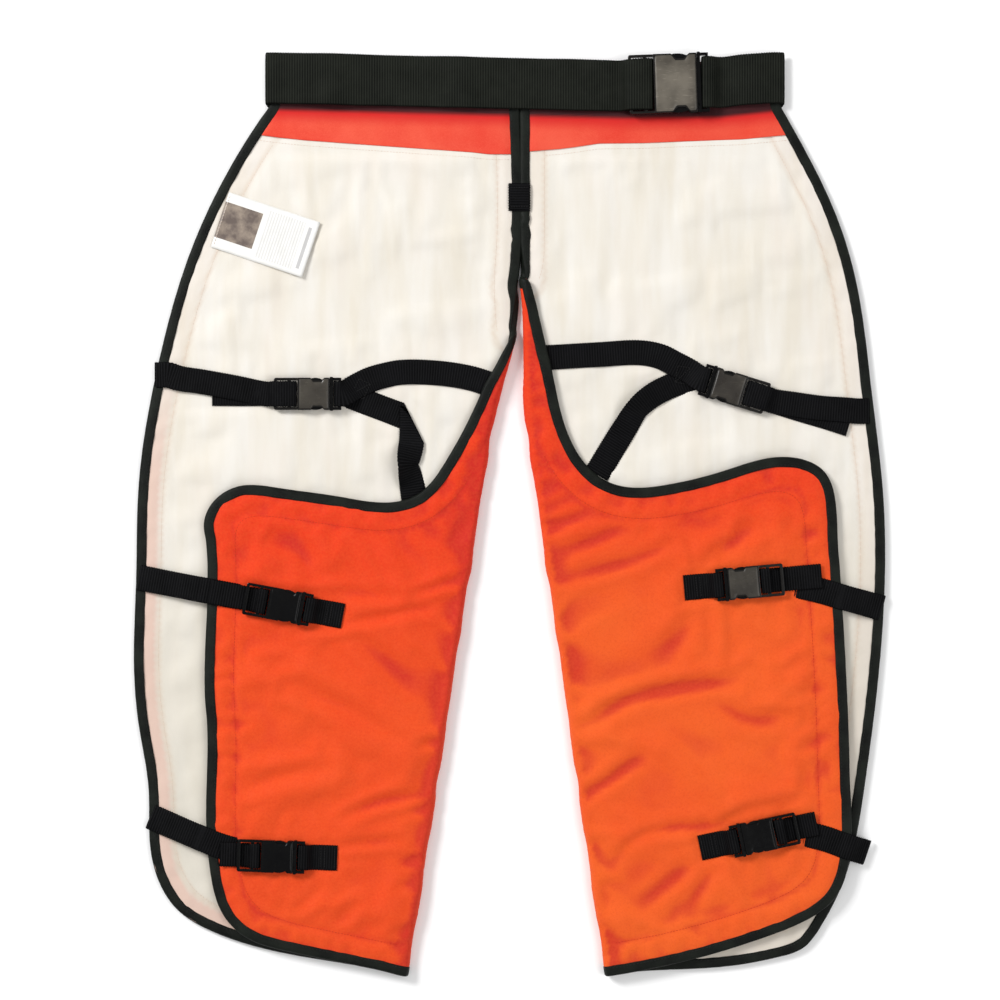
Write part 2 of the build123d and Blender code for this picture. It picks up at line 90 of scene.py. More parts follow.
UNDER_FACING = 345      # height on the object from which the facing covers the lining
CARD_THICK = 0.35
FREE = 100.0            # a height above everything, where nothing limits the cloth
WAY = {"left": 1, "right": -1}
FOLD_BLEND = ((0, 0, 4.0), (0, 0, 10.3))    # where cloth on the fold goes over from leg to wrap


# ---- lines and fields -------------------------------------------------------------------------
def unit(v):
    v = np.asarray(v, float)
    return v / np.maximum(np.linalg.norm(v, axis=-1, keepdims=True), 1e-9)


def smooth_step(x):
    """0 below 0, 1 above 1, and a soft rise between."""
    x = np.clip(x, 0, 1)
    return x * x * (3 - 2 * x)


def bell(x):
    return np.exp(-x * x)


def even(line, step):
    """The same line with evenly spaced points, about step apart."""
    line = np.asarray(line, float)
    along = np.concatenate([[0], np.cumsum(np.linalg.norm(np.diff(line, axis=0), axis=1))])
    places = np.linspace(0, along[-1], max(2, int(round(along[-1] / step)) + 1))
    return np.column_stack([np.interp(places, along, line[:, k]) for k in range(line.shape[1])])


def curve_through(points, step, sharp=40.0):
    """A smooth line through points, which keeps corners sharper than that many degrees."""
    p = np.asarray(points, float)
    run = np.diff(p, axis=0)
    length = np.linalg.norm(run, axis=1)
    heading = run / length[:, None]
    middle = unit(heading[:-1] + heading[1:])
    corner = (heading[:-1] * heading[1:]).sum(1) < math.cos(math.radians(sharp))
    arrive = np.vstack([np.where(corner[:, None], heading[:-1], middle), heading[-1:]])
    leave = np.vstack([heading[:1], np.where(corner[:, None], heading[1:], middle)])
    fine = [p[:1]]
    for i, size in enumerate(length):
        t = np.linspace(0, 1, max(2, int(size / step * 3) + 2))[1:, None]
        fine.append(p[i] * (2 * t**3 - 3 * t**2 + 1) + p[i + 1] * (3 * t**2 - 2 * t**3)
                    + leave[i] * size * (t**3 - 2 * t**2 + t)
                    + arrive[i] * size * (t**3 - t**2))
    return even(np.vstack(fine), step)


def eased(line, passes):
    """The same line with its kinks evened out and its ends where they were."""
    for _ in range(passes):
        line[1:-1] = 0.25 * line[:-2] + 0.5 * line[1:-1] + 0.25 * line[2:]
    return line


def nearest_on(line, points):
    """For each point: its distance from a line, and how far along the line that is."""
    line = np.asarray(line, float)
    size = line.shape[1]
    tree = KDTree(len(line))
    for i, p in enumerate(line):
        tree.insert((*p, *(0.0,) * (3 - size)), i)
    tree.balance()
    index = np.array([tree.find((*p, *(0.0,) * (3 - size)))[1] for p in points])
    along = np.concatenate([[0], np.cumsum(np.linalg.norm(np.diff(line, axis=0), axis=1))])
    best = np.full(len(points), 1e9)
    place = np.zeros(len(points))
    for back in (1, 0):
        i = np.clip(index - back, 0, len(line) - 2)
        a, b = line[i], line[i + 1]
        share = np.clip(((points - a) * (b - a)).sum(1) / ((b - a) ** 2).sum(1), 0, 1)
        distance = np.linalg.norm(a + (b - a) * share[:, None] - points, axis=1)
        closer = distance < best
        best = np.where(closer, distance, best)
        place = np.where(closer, along[i] + share * (along[i + 1] - along[i]), place)
    return best, place


def ripple(points, size, seed, turn=0.0):
    """Smooth noise from -1 to 1 with features of a given (x, y) size, turned by some degrees."""
    lattice = np.random.default_rng(seed).uniform(-1, 1, (97, 89))
    c, s = math.cos(math.radians(turn)), math.sin(math.radians(turn))
    grid = points @ np.array([[c, -s], [s, c]]) / np.array(size)
    cell = np.floor(grid).astype(int)
    part = grid - cell
    part = part * part * (3 - 2 * part)
    x, y = cell[:, 0] % 97, cell[:, 1] % 89
    x1, y1 = (x + 1) % 97, (y + 1) % 89
    low = lattice[x, y] * (1 - part[:, 0]) + lattice[x1, y] * part[:, 0]
    high = lattice[x, y1] * (1 - part[:, 0]) + lattice[x1, y1] * part[:, 0]
    return low * (1 - part[:, 1]) + high * part[:, 1]


def ripple_along(places, size, seed):
    return ripple(np.column_stack([places, places * 0]), (size, 1.0), seed)


def inside(points, ring):
    """Which points lie inside a closed ring."""
    found = np.zeros(len(points), bool)
    for a, b in zip(ring, np.roll(ring, -1, axis=0)):
        if a[1] != b[1]:
            cross = (points[:, 1] > a[1]) != (points[:, 1] > b[1])
            x = a[0] + (points[:, 1] - a[1]) / (b[1] - a[1]) * (b[0] - a[0])
            found ^= cross & (points[:, 0] < x)
    return found


def grown(ring, amount):
    """A ring that runs anticlockwise, moved outwards by amount with its corners kept sharp."""
    edge = unit(np.roll(ring, -1, axis=0) - ring)
    out = np.column_stack([edge[:, 1], -edge[:, 0]])
    before = np.roll(out, 1, axis=0)
    share = np.maximum(1 + (out * before).sum(1), 0.3)
    return ring + amount * (out + before) / share[:, None]


def filled(ring, step):
    """A ring filled with an even net of triangles: (points, triangles)."""
    low, high = ring.min(0), ring.max(0)
    rows = [np.column_stack([np.arange(low[0] + (k % 2) * step / 2, high[0], step)] * 2)
            for k in range(int((high[1] - low[1]) / (step * 0.866)))]
    for k, row in enumerate(rows):
        row[:, 1] = low[1] + k * step * 0.866
    net = np.vstack(rows)
    net = net[inside(net, ring)]
    closed = np.vstack([ring, ring[:1]])
    net = net[nearest_on(closed, net)[0] > 0.6 * step]
    spots = [Vector(p) for p in np.vstack([ring, net])]
    made = delaunay_2d_cdt(spots, [], [list(range(len(ring)))], 1, 1e-5)
    return np.array([tuple(v) for v in made[0]]), [tuple(face) for face in made[2]]


def smoothed(values, faces, passes, limit=None):
    """Values at the points of a net, evened out between neighbours, and kept below a limit."""
    f = np.array(faces)
    a = np.concatenate([f[:, 0], f[:, 1], f[:, 2]])
    b = np.concatenate([f[:, 1], f[:, 2], f[:, 0]])
    count = np.bincount(a, minlength=len(values)) + np.bincount(b, minlength=len(values))
    for _ in range(passes):
        total = (np.bincount(a, values[b], len(values)) + np.bincount(b, values[a], len(values)))
        values = 0.4 * values + 0.6 * total / np.maximum(count, 1)
        if limit is not None:
            values = np.minimum(values, limit)
    return values


# ---- what the frame says ----------------------------------------------------------------------
def points_of(made):
    """The points of a piece or CAD node, in millimetres."""
    return np.array([v.co for v in made.data.vertices]) / MM


def flat_rings(node, level):
    """Closed outlines, anticlockwise, of the upward faces of a CAD node at one height."""
    mesh = frame["nodes"][node].data
    keys = [tuple(p) for p in np.round(points_of(frame["nodes"][node]), 2)]
    edges = Counter()
    for face in mesh.polygons:
        corners = [keys[i] for i in face.vertices]
        if face.normal.z > 0.9 and all(abs(k[2] - level) < 0.05 for k in corners):
            for pair in zip(corners, corners[1:] + corners[:1]):
                edges[pair] += 1
                edges[pair[::-1]] -= 1
    follow = dict(pair for pair, count in edges.items() if count > 0)
    rings = []
    while follow:
        start, spot = follow.popitem()
        ring = [start]
        while spot != start:
            ring.append(spot)
            spot = follow.pop(spot)
        rings.append(np.array(ring)[:, :2])
    return rings


def top_outline(node, side):
    """The outline of a CAD node's upper face, of the solid that lies on one side."""
    rings = flat_rings(node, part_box(node)[1].z / MM)
    return [r for r in rings if WAY[side] * (r[:, 0].mean() - CENTRE) < 0][0]


def thinned(ring, least):
    """A ring without points that crowd within a distance of the one before."""
    kept = [ring[0]]
    for p in ring[1:]:
        if np.linalg.norm(p - kept[-1]) > least:
            kept.append(p)
    return np.array(kept)


def tree_of(*things):
    """A ray-casting tree of some pieces or CAD nodes, in millimetres."""
    spots, faces = [], []
    for made in things:
        start = len(spots)
        spots += [tuple(p) for p in points_of(made)]
        faces += [tuple(start + i for i in face.vertices) for face in made.data.polygons]
    return BVHTree.FromPolygons(spots, faces)


def room_above(tree, spots, level, reach=3.5):
    """The lowest thing above each spot, looking up from a level, also just beside the spot."""
    around = [(0, 0)] + [(reach * math.cos(a), reach * math.sin(a)) for a in np.arange(0, 6.2, 1.05)]
    room = np.full(len(spots), FREE)
    for dx, dy in around:
        hits = [tree.ray_cast((x + dx, y + dy, level), (0, 0, 1))[0] for x, y in spots]
        room = np.minimum(room, [hit.z if hit else FREE for hit in hits])
    return room


# ---- making pieces ----------------------------------------------------------------------------
def piece(name, points, faces, material, body, nodes=()):
    """A new piece from points in millimetres, riding on a body and standing for CAD nodes."""
    mesh = bpy.data.meshes.new(name)
    mesh.from_pydata((np.asarray(points, float) * MM).tolist(), [], faces)
    mesh.polygons.foreach_set("use_smooth", [True] * len(mesh.polygons))
    mesh.materials.append(material)
    mesh.update()
    made = bpy.data.objects.new(name, mesh)
    bpy.context.scene.collection.objects.link(made)
    if isinstance(body, str):
        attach(made, body)
    else:
        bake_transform(made)
    if nodes:
        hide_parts(*nodes)
    return made


def paint(made, name, values):
    """Stores a value for each point, for the material to read."""
    layer = made.data.attributes.new(name, "FLOAT", "POINT")
    layer.data.foreach_set("value", np.asarray(values, np.float32))


def net_of(rows, columns, closed=False, start=0):
    """The faces of a grid of points, stored row by row. Closed joins the last column to the first."""
    faces = []
    for i in range(rows - 1):
        for j in range(columns if closed else columns - 1):
            a, b = start + i * columns + j, start + i * columns + (j + 1) % columns
            faces.append((a, b, b + columns, a + columns))
    return faces


# ---- materials --------------------------------------------------------------------------------
class Nodes:
    """A short way to wire a material's nodes."""

    def __init__(self, name):
        self.material = bpy.data.materials.new(name)
        self.material.use_nodes = True
        self.tree = self.material.node_tree
        self.shader = self.tree.nodes["Principled BSDF"]

    def add(self, kind, settings=None, **inputs):
        node = self.tree.nodes.new(kind)
        for key, value in (settings or {}).items():
            setattr(node, key, value)
        for key, value in inputs.items():
            self.feed(node.inputs[key.replace("_", " ")], value)
        return node

    def feed(self, socket, value):
        if isinstance(value, bpy.types.NodeSocket):
            self.tree.links.new(value, socket)
        else:
            socket.default_value = value

    def noise(self, scale, detail=3.0, coords=None):
        node = self.add("ShaderNodeTexNoise", Scale=scale, Detail=detail, Roughness=0.55)
        self.feed(node.inputs["Vector"], coords or self.place())
        return node.outputs["Fac"]

    def place(self):
        return self.add("ShaderNodeTexCoord").outputs["Object"]

    def stretched(self, x, y, z, turn=0.0):
        node = self.add("ShaderNodeMapping", Scale=(x, y, z), Rotation=(0, 0, math.radians(turn)))
        self.feed(node.inputs["Vector"], self.place())
        return node.outputs["Vector"]

    def ramp(self, value, low, high, start=0.0, end=1.0):
        node = self.add("ShaderNodeMapRange", {"clamp": True})
        self.feed(node.inputs["Value"], value)
        for key, number in (("From Min", low), ("From Max", high), ("To Min", start), ("To Max", end)):
            node.inputs[key].default_value = number
        return node.outputs["Result"]

    def math(self, kind, a, b=0.0):
        node = self.add("ShaderNodeMath", {"operation": kind})
        self.feed(node.inputs[0], a)
        self.feed(node.inputs[1], b)
        return node.outputs["Value"]

    def cloud(self, scale, detail, low, high, start=0.0, end=1.0):
        """Noise that goes from start to end between two of its levels."""
        return self.ramp(self.noise(scale, detail), low, high, start, end)

    def painted(self, name):
        return self.add("ShaderNodeAttribute", {"attribute_name": name}).outputs["Fac"]

    def mix(self, share, a, b):
        """A mix of two colours, each from a node or given as 0 to 255 screen values."""
        node = self.add("ShaderNodeMix", {"data_type": "RGBA"})
        self.feed(node.inputs["Factor"], share)
        for key, colour in (("A", a), ("B", b)):
            self.feed(node.inputs[key], linear(*colour) if isinstance(colour, tuple) else colour)
        return node.outputs["Result"]

    def weave(self, pitch, turn=0.0):
        """Over-and-under threads at a pitch in millimetres, from 0 to 1."""
        coords = self.stretched(1, 1, 1, turn)
        bands = []
        for axis in ("X", "Y"):
            node = self.add("ShaderNodeTexWave", {"bands_direction": axis, "wave_profile": "SIN"},
                            Scale=math.pi / 10 / (pitch * MM), Distortion=0.6, Detail=1.0)
            self.feed(node.inputs["Vector"], coords)
            bands.append(node.outputs["Fac"])
        return self.math("MULTIPLY", bands[0], bands[1])

    def bump(self, *layers):
        """Bumps of several (height, distance in millimetres) layers, one on the other."""
        normal = None
        for height, distance in layers:
            node = self.add("ShaderNodeBump", Strength=1.0, Distance=distance * MM)
            self.feed(node.inputs["Height"], height)
            if normal:
                self.feed(node.inputs["Normal"], normal)
            normal = node.outputs["Normal"]
        self.feed(self.shader.inputs["Normal"], normal)

    def finish(self, colour, rough, sheen=0.0, specular=0.5, coat=0.0):
        self.feed(self.shader.inputs["Base Color"], colour)
        self.feed(self.shader.inputs["Roughness"], rough)
        self.shader.inputs["Sheen Weight"].default_value = sheen
        self.shader.inputs["Specular IOR Level"].default_value = specular
        self.shader.inputs["Coat Weight"].default_value = coat
        return self.material


def linear(red, green, blue):
    """A colour given as 0 to 255 screen values."""
    return tuple(((c / 255 + 0.055) / 1.055) ** 2.4 if c > 10 else c / 255 / 12.92
                 for c in (red, green, blue)) + (1.0,)


def orange_nylon():
    """Coated orange nylon: fine threads, paler worn high spots and painted shade in the creases, along
    the fold and along the sewn line.
    """
    n = Nodes("orange_nylon")
    broad = n.cloud(9, 4, 0.35, 0.65)
    warm = n.painted("warm")
    colour = n.mix(warm, (216, 47, 17), (227, 93, 31))
    colour = n.mix(n.math("MULTIPLY", broad, 0.35), colour, (212, 52, 19))
    # Painted shade: darker red where the cloth sinks into its creases, on the shaded side of the fold
    # and along the sewn line.
    height = n.painted("crease")
    colour = n.mix(n.ramp(height, 0.0, 1.0, 0.0, 0.7), colour, (182, 26, 28))
    colour = n.mix(n.cloud(420, 3, 0.35, 0.65, 0.0, 0.12), colour, (245, 110, 52))
    colour = n.mix(n.cloud(650, 2, 0.5, 0.7, 0.0, 0.22), colour, (190, 44, 18))
    threads = n.weave(0.7)
    n.bump((threads, 0.10), (n.noise(160, 4), 0.16))
    return n.finish(colour, n.cloud(70, 3, 0.3, 0.7, 0.62, 0.78), sheen=0.03, specular=0.16)


def red_facing():
    """The shinier red-orange cloth at the waist, with a painted shadow below the belt."""
    n = Nodes("red_facing")
    colour = n.mix(n.cloud(16, 4, 0.35, 0.65), (214, 54, 36), (222, 80, 57))
    colour = n.mix(n.cloud(1200, 2, 0.4, 0.65, 0.0, 0.12), colour, (250, 130, 100))
    n.bump((n.weave(0.6), 0.08), (n.noise(120, 4), 0.2))
    # Painted shadow below the belt: salmon deepens to saturated red, then to near black at the belt's
    # edge.
    shade = n.painted("crease")
    colour = n.mix(n.ramp(shade, 0.0, 0.5), colour, (200, 30, 26))
    colour = n.mix(n.ramp(shade, 0.5, 1.0), colour, (52, 6, 12))
    return n.finish(colour, n.cloud(60, 3, 0.3, 0.7, 0.5, 0.68), sheen=0.03, specular=0.2)


def cream_lining():
    """Thin off-white lining: the layers below show through as soft stripes, pink at the edge. Painted
    shade darkens it towards the bottom and along the sewn groove.
    """
    n = Nodes("cream_lining")
    stripes = n.noise(1.0, 3, n.stretched(46, 7, 7))
    colour = n.mix(n.ramp(stripes, 0.35, 0.68), (226, 222, 215), (217, 210, 197))
    patches = n.noise(1.0, 3, n.stretched(20, 6, 6, 12))
    colour = n.mix(n.ramp(patches, 0.5, 0.75, 0.0, 0.5), colour, (227, 217, 208))
    # Painted shade: the lining grows darker towards the bottom, where the light falls off.
    painted_falloff = n.painted("painted_falloff")
    colour = n.mix(painted_falloff, colour, (203, 197, 184))
    pink = n.painted("pink")
    colour = n.mix(pink, colour, (208, 178, 164))
    # Painted shade in the groove along the sewn line.
    seam = n.painted("crease")
    colour = n.mix(n.ramp(seam, 0, 1, 0, 0.45), colour, (196, 172, 150))
    n.bump((n.weave(0.55), 0.06), (n.noise(90, 4), 0.14))
    return n.finish(colour, n.cloud(60, 2, 0.3, 0.7, 0.74, 0.86), sheen=0.03, specular=0.2)


def binding_tape():
    """Folded black nylon tape with a satin gloss along the fold."""
    n = Nodes("binding_tape")
    colour = n.mix(n.cloud(45, 4, 0.35, 0.7), (10, 12, 10), (24, 28, 23))
    dust = n.cloud(900, 3, 0.6, 0.8, 0.0, 0.35)
    colour = n.mix(dust, colour, (56, 58, 54))
    n.bump((n.weave(0.5, 45), 0.07), (n.noise(240, 4), 0.12))
    return n.finish(colour, n.cloud(90, 3, 0.3, 0.7, 0.34, 0.48), sheen=0.01, specular=0.1)


def webbing_cloth(name, dark, light, crown, rough, gloss):
    """Heavy black webbing: the ribs are in the shape, and the cross threads here. A painted highlight
    lightens the rib crests.
    """
    n = Nodes(name)
    colour = n.mix(n.cloud(50, 4, 0.35, 0.68), dark, light)
    # Painted highlight: the crown colour lightens the rib crests, leaving the valleys darker.
    crest = n.painted("crest")
    colour = n.mix(n.ramp(crest, 0.45, 1.0, 0.0, 0.6), colour, crown)
    fuzz = n.cloud(1500, 2, 0.56, 0.74, 0.0, 0.2)
    colour = n.mix(fuzz, colour, (54, 54, 50))
    n.bump((n.noise(900, 3), 0.25), (n.weave(0.9, 30), 0.10))
    return n.finish(colour, n.cloud(80, 3, 0.3, 0.7, rough, rough + 0.16), sheen=0.0,
                    specular=gloss)


def plastic(name, dark, light, rough, specular):
    """Moulded acetal: a soft gloss, broad tone changes and fine straight scuffs."""
    n = Nodes(name)
    colour = n.mix(n.cloud(26, 3, 0.32, 0.68), dark, light)
    scuffs = n.ramp(n.noise(1.0, 4, n.stretched(150, 1100, 500, 25)), 0.6, 0.8, 0.0, 0.3)
    colour = n.mix(scuffs, colour, tuple(min(255, c * 1.6 + 20) for c in light))
    n.bump((n.noise(1300, 2), 0.03), (n.noise(70, 3), 0.10))
    return n.finish(colour, n.cloud(200, 4, 0.3, 0.7, rough, rough + 0.14), specular=specular)


def thread(name, colour):
    """Twisted sewing thread."""
    n = Nodes(name)
    twist = n.cloud(1800, 2, 0.35, 0.65)
    shade = n.mix(twist, tuple(int(c * 0.85) for c in colour), colour)
    n.bump((n.noise(2500, 2), 0.05))
    return n.finish(shade, 0.6, specular=0.15)


def printed_card():
    """Glossy white label: a mottled grey-brown block, faint plain bars and one plain heading bar."""
    n = Nodes("printed_card")
    split = n.add("ShaderNodeSeparateXYZ")
    n.feed(split.inputs[0], n.add("ShaderNodeTexCoord").outputs["UV"])
    u, v = split.outputs["X"], split.outputs["Y"]

    def between(value, low, high):
        return n.math("MULTIPLY", n.math("GREATER_THAN", value, low),
                      n.math("LESS_THAN", value, high))

    block = n.math("MULTIPLY", between(u, -0.1, 0.41), between(v, 0.19, 0.83))
    mottle = n.mix(n.cloud(90, 4, 0.35, 0.65), (96, 84, 78), (150, 136, 122))
    lines = n.math("FRACT", n.math("MULTIPLY", u, 34.0))
    bars = n.math("MULTIPLY", n.math("LESS_THAN", lines, 0.45), between(u, 0.47, 0.86))
    bars = n.math("MULTIPLY", bars, between(v, 0.08, 0.92))
    heading = n.math("MULTIPLY", between(u, 0.905, 0.94), between(v, 0.12, 0.86))
    ink = n.math("MAXIMUM", n.math("MULTIPLY", bars, 0.22), n.math("MULTIPLY", heading, 0.5))
    paper = n.mix(n.cloud(120, 2, 0.3, 0.7), (232, 231, 228), (224, 223, 219))
    colour = n.mix(ink, paper, (120, 118, 124))
    colour = n.mix(block, colour, mottle)
    n.bump((n.noise(300, 3), 0.04))
    return n.finish(colour, n.cloud(150, 3, 0.3, 0.7, 0.35, 0.45), specular=0.5)


ORANGE = orange_nylon()
RED = red_facing()
CREAM = cream_lining()
TAPE = binding_tape()
# The fourth colour of each webbing is the painted highlight on its rib crests.
BELT_CLOTH = webbing_cloth("belt_webbing", (11, 13, 10), (21, 23, 19), (46, 49, 42), 0.55, 0.06)
STRAP_CLOTH = webbing_cloth("strap_webbing", (3, 3, 4), (9, 9, 11), (30, 30, 32), 0.5, 0.04)
BLACK_PLASTIC = plastic("black_acetal", (3, 3, 4), (9, 9, 9), 0.17, 0.12)
FRAME_PLASTIC = plastic("dark_acetal", (10, 9, 8), (26, 24, 22), 0.2, 0.2)
DARK_PLASTIC = plastic("dark_grey_acetal", (36, 32, 28), (66, 62, 55), 0.24, 0.3)
GREY_PLASTIC = plastic("grey_acetal", (48, 44, 38), (104, 98, 88), 0.26, 0.3)
PAD_FELT = thread("pad_felt", (226, 222, 210))
BLACK_THREAD = thread("black_thread", (34, 34, 34))
ORANGE_THREAD = thread("orange_thread", (206, 58, 26))
PALE_THREAD = thread("pale_thread", (232, 212, 196))
CARD = printed_card()


# ---- the two legs as flat patterns ---------------------------------------------------------------
# Where each wrap's fold begins at the inner thigh: the leg's edge down to the fold, the wrap's
# edge away from it, and how far the fold line curves off its straight course up there.
FOLD_TOPS = {
    "left": ([(9.8, 212), (10.2, 190), (8.4, 177)],
             [(1.4, 169.8), (-3, 163), (-10, 150), (-17, 137)], 9.5, 105.0),
    "right": ([(9.7, 236), (9.9, 228)],
              [(18.5, 228), (20.7, 221), (23.6, 211), (29.4, 187), (35, 163)], -13.5, 150.0),
}


class Leg:
    """One leg and its calf wrap as a single flat pattern, which place() folds over at the shin."""

    def __init__(self, side):
        fold = joints[f"{side}_wrap_fold"]
        self.side = side
        self.foot = np.array(fold["pos_m"][:2]) / MM
        axis = np.array(fold["axis"][:2])
        self.up = unit(axis * np.sign(axis[1]))
        way = WAY[side]
        self.out = way * np.array([self.up[1], -self.up[0]])
        self.curve, self.curve_run = 0.0, 1.0
        leg, wrap = (grown(thinned(top_outline(node, side), 0.8), LINING_INSET)
                     for node in ("leg_linings", f"{side}_wrap_lining"))
        wrap_top = self.along(wrap[np.abs(self.past(wrap)) < 2.5]).max()
        near = self.along(leg[np.abs(self.past(leg)) < 1.0])
        self.top = near[near > wrap_top - 1.0].min()
        leg, wrap = self.opened(leg)[::way], self.opened(wrap)[::way]
        leg_top, wrap_top, self.curve, self.curve_run = FOLD_TOPS[side]
        leg_top, wrap_top = np.array(leg_top, float), np.array(wrap_top, float)
        low = np.flatnonzero(leg[:, 1] > leg_top[:, 1].max() + 4)[0]
        leg = np.vstack([leg_top[::-1], leg[low:]])[::way]
        low = np.flatnonzero(wrap[1:, 1] < wrap_top[:, 1].min() - 6)[0] + 1
        wrap = np.vstack([wrap_top, wrap[low:]])[::way]
        self.top = self.along(leg_top[-1:])[0]
        leg[:, 1] = np.minimum(leg[:, 1], WAIST)
        if side == "right":
            leg = even(leg, 2.0)
            near = bell(np.linalg.norm(leg - (285, -421), axis=1) / 24)
            leg = leg + near[:, None] * np.array((2.6, -3.4))
        wrap = self.point(self.along(wrap), FOLD_ARC - self.past(wrap))[::-1]
        self.ring = curve_through(np.vstack([leg, wrap, leg[:1]]), 3.0)[:-1]

    def drift(self, along):
        """How far the fold line has curved off its straight course."""
        return self.curve * smooth_step((along - 530) / self.curve_run)

    def past(self, spots):
        """How far spots of the pattern lie beyond the fold line."""
        return (spots - self.foot) @ self.out - self.drift(self.along(spots))

    def along(self, spots):
        return (spots - self.foot) @ self.up

    def point(self, along, past):
        return (self.foot + np.outer(along, self.up)
                + np.outer(past + self.drift(along), self.out))

    def opened(self, ring):
        """A ring as an open line, from one end of its fold edge round to the other."""
        on_fold = (np.abs(self.past(ring)) < 2.5) & (self.along(ring) < self.top + 0.4)
        ends = [i for i in range(len(ring)) if on_fold[i] and not on_fold[(i + 1) % len(ring)]]
        ring = np.roll(ring, -ends[0], axis=0)
        on_fold = np.roll(on_fold, -ends[0])
        first_back = np.flatnonzero(on_fold[1:])[0] + 1
        return ring[:first_back + 1]

    def folded(self, spots):
        """Which spots of the pattern lie past the fold line, on the fold or the wrap."""
        return (self.past(spots) > 0) & (self.along(spots) < self.top + 1.5)

    def place(self, spots, depth):
        """Where a spot lies when the wrap is folded over. Depth goes from the shell's outer face
        (0) towards the lining's (PANEL)."""
        t, v = self.past(spots), self.along(spots)
        over = (t > 0) & (t < FOLD_ARC / 2) | self.folded(spots)
        turn = np.clip(t / FOLD_R, 0, math.pi)
        radius = FOLD_R - depth
        t = np.where(over, np.where(t < FOLD_ARC, radius * np.sin(turn), FOLD_ARC - t), t)
        z = np.where(over, FOLD_R - radius * np.cos(turn), depth)
        return np.column_stack([self.point(v, t), z])

    def flat_place(self, spots):
        return self.place(spots, np.zeros(len(spots)))


def crease(spots, line, wide, deep):
    """A fold pressed into cloth along a line: a groove with a low ridge each side."""
    route = curve_through(line, 4.0)
    away, along = nearest_on(route, spots)
    length = np.linalg.norm(np.diff(route, axis=0), axis=1).sum()
    fade = np.sqrt(np.sin(math.pi * np.clip(along / length, 0.02, 0.98)))
    end = np.minimum(away / wide, 6)
    return deep * fade * (bell(end) - 0.45 * bell((end - 2.1) / 1.1))


# Creases in the calf wraps, as they lie: (points, half width, depth)
CREASES = {
    "left": [
        ([(-91, -78), (-70, -70), (-46, -58)], 3.6, 2.6),
        ([(-205, -112), (-130, -101), (-79, -90)], 4.6, 1.8),
        ([(-222, -78), (-160, -77), (-96, -81)], 5.0, 1.1),
        ([(-226, -155), (-154, -189), (-112, -215)], 8.5, 2.3),
        ([(-264, -266), (-221, -254), (-176, -248)], 7.0, 2.0),
        ([(-160, -293), (-125, -278), (-88, -272)], 4.6, 2.0),
        ([(-101, -290), (-78, -281)], 3.6, 1.7),
        ([(-160, -319), (-104, -314)], 4.2, 1.5),
        ([(-241, -25), (-208, -31), (-180, -64)], 9.0, 1.5),
        ([(-284, -203), (-254, -203)], 5.0, 1.6),
        ([(-57, -30), (-38, 0)], 5.0, 1.8),
        ([(-88, -225), (-70, -217)], 4.0, 1.8),
        ([(-241, -146), (-208, -146)], 6.0, 1.2),
        ([(-202, -378), (-180, -362)], 5.0, 1.2),
        ([(-168, -392), (-148, -377)], 5.0, 1.2),
        ([(-150, -120), (-112, -150), (-92, -168)], 8.0, 1.2),
        ([(-284, -160), (-262, -158)], 4.0, 1.1),
        ([(-286, -232), (-258, -236)], 4.0, 1.1),
        ([(-104, -338), (-88, -332)], 4.0, 1.5),
        ([(-108, -360), (-92, -355)], 4.0, 1.3),
    ],
    "right": [
        ([(29, -15), (73, -3)], 4.6, 2.4),
        ([(54, -35), (112, -15)], 5.0, 1.9),
        ([(54, -61), (120, -45), (155, -30)], 5.6, 2.0),
        ([(184, -49), (218, -25), (242, -8)], 7.0, 2.0),
        ([(73, -206), (111, -180), (150, -170), (218, -160)], 6.4, 2.3),
        ([(198, -184), (237, -199), (266, -194)], 7.0, 1.6),
        ([(75, -273), (102, -252), (128, -233)], 5.4, 2.6),
        ([(97, -339), (121, -315), (150, -305), (194, -300), (232, -286), (276, -276)], 5.4, 2.2),
        ([(126, -377), (179, -334)], 6.0, 1.6),
        ([(169, -382), (198, -344)], 6.0, 1.6),
        ([(145, -136), (184, -97)], 8.0, 1.3),
        ([(193, -97), (193, -136)], 6.0, 1.0),
        ([(262, -150), (292, -140)], 5.0, 1.1),
        ([(270, -176), (300, -168)], 5.0, 1.1),
        ([(276, -228), (306, -214)], 5.0, 1.2),
        ([(282, -24), (300, -12)], 5.0, 1.3),
        ([(40, 60), (56, 40)], 6.0, 1.1),
        ([(150, -395), (165, -375)], 5.0, 1.0),
    ],
}
QUILT = {"left": 28.0, "right": 31.0}       # wrap's sewn line, from its edge
SEAM = 24.0                                 # leg lining's sewn line, from its edge
SOFT = 0.06                                 # how firmly loose cloth keeps to the padding


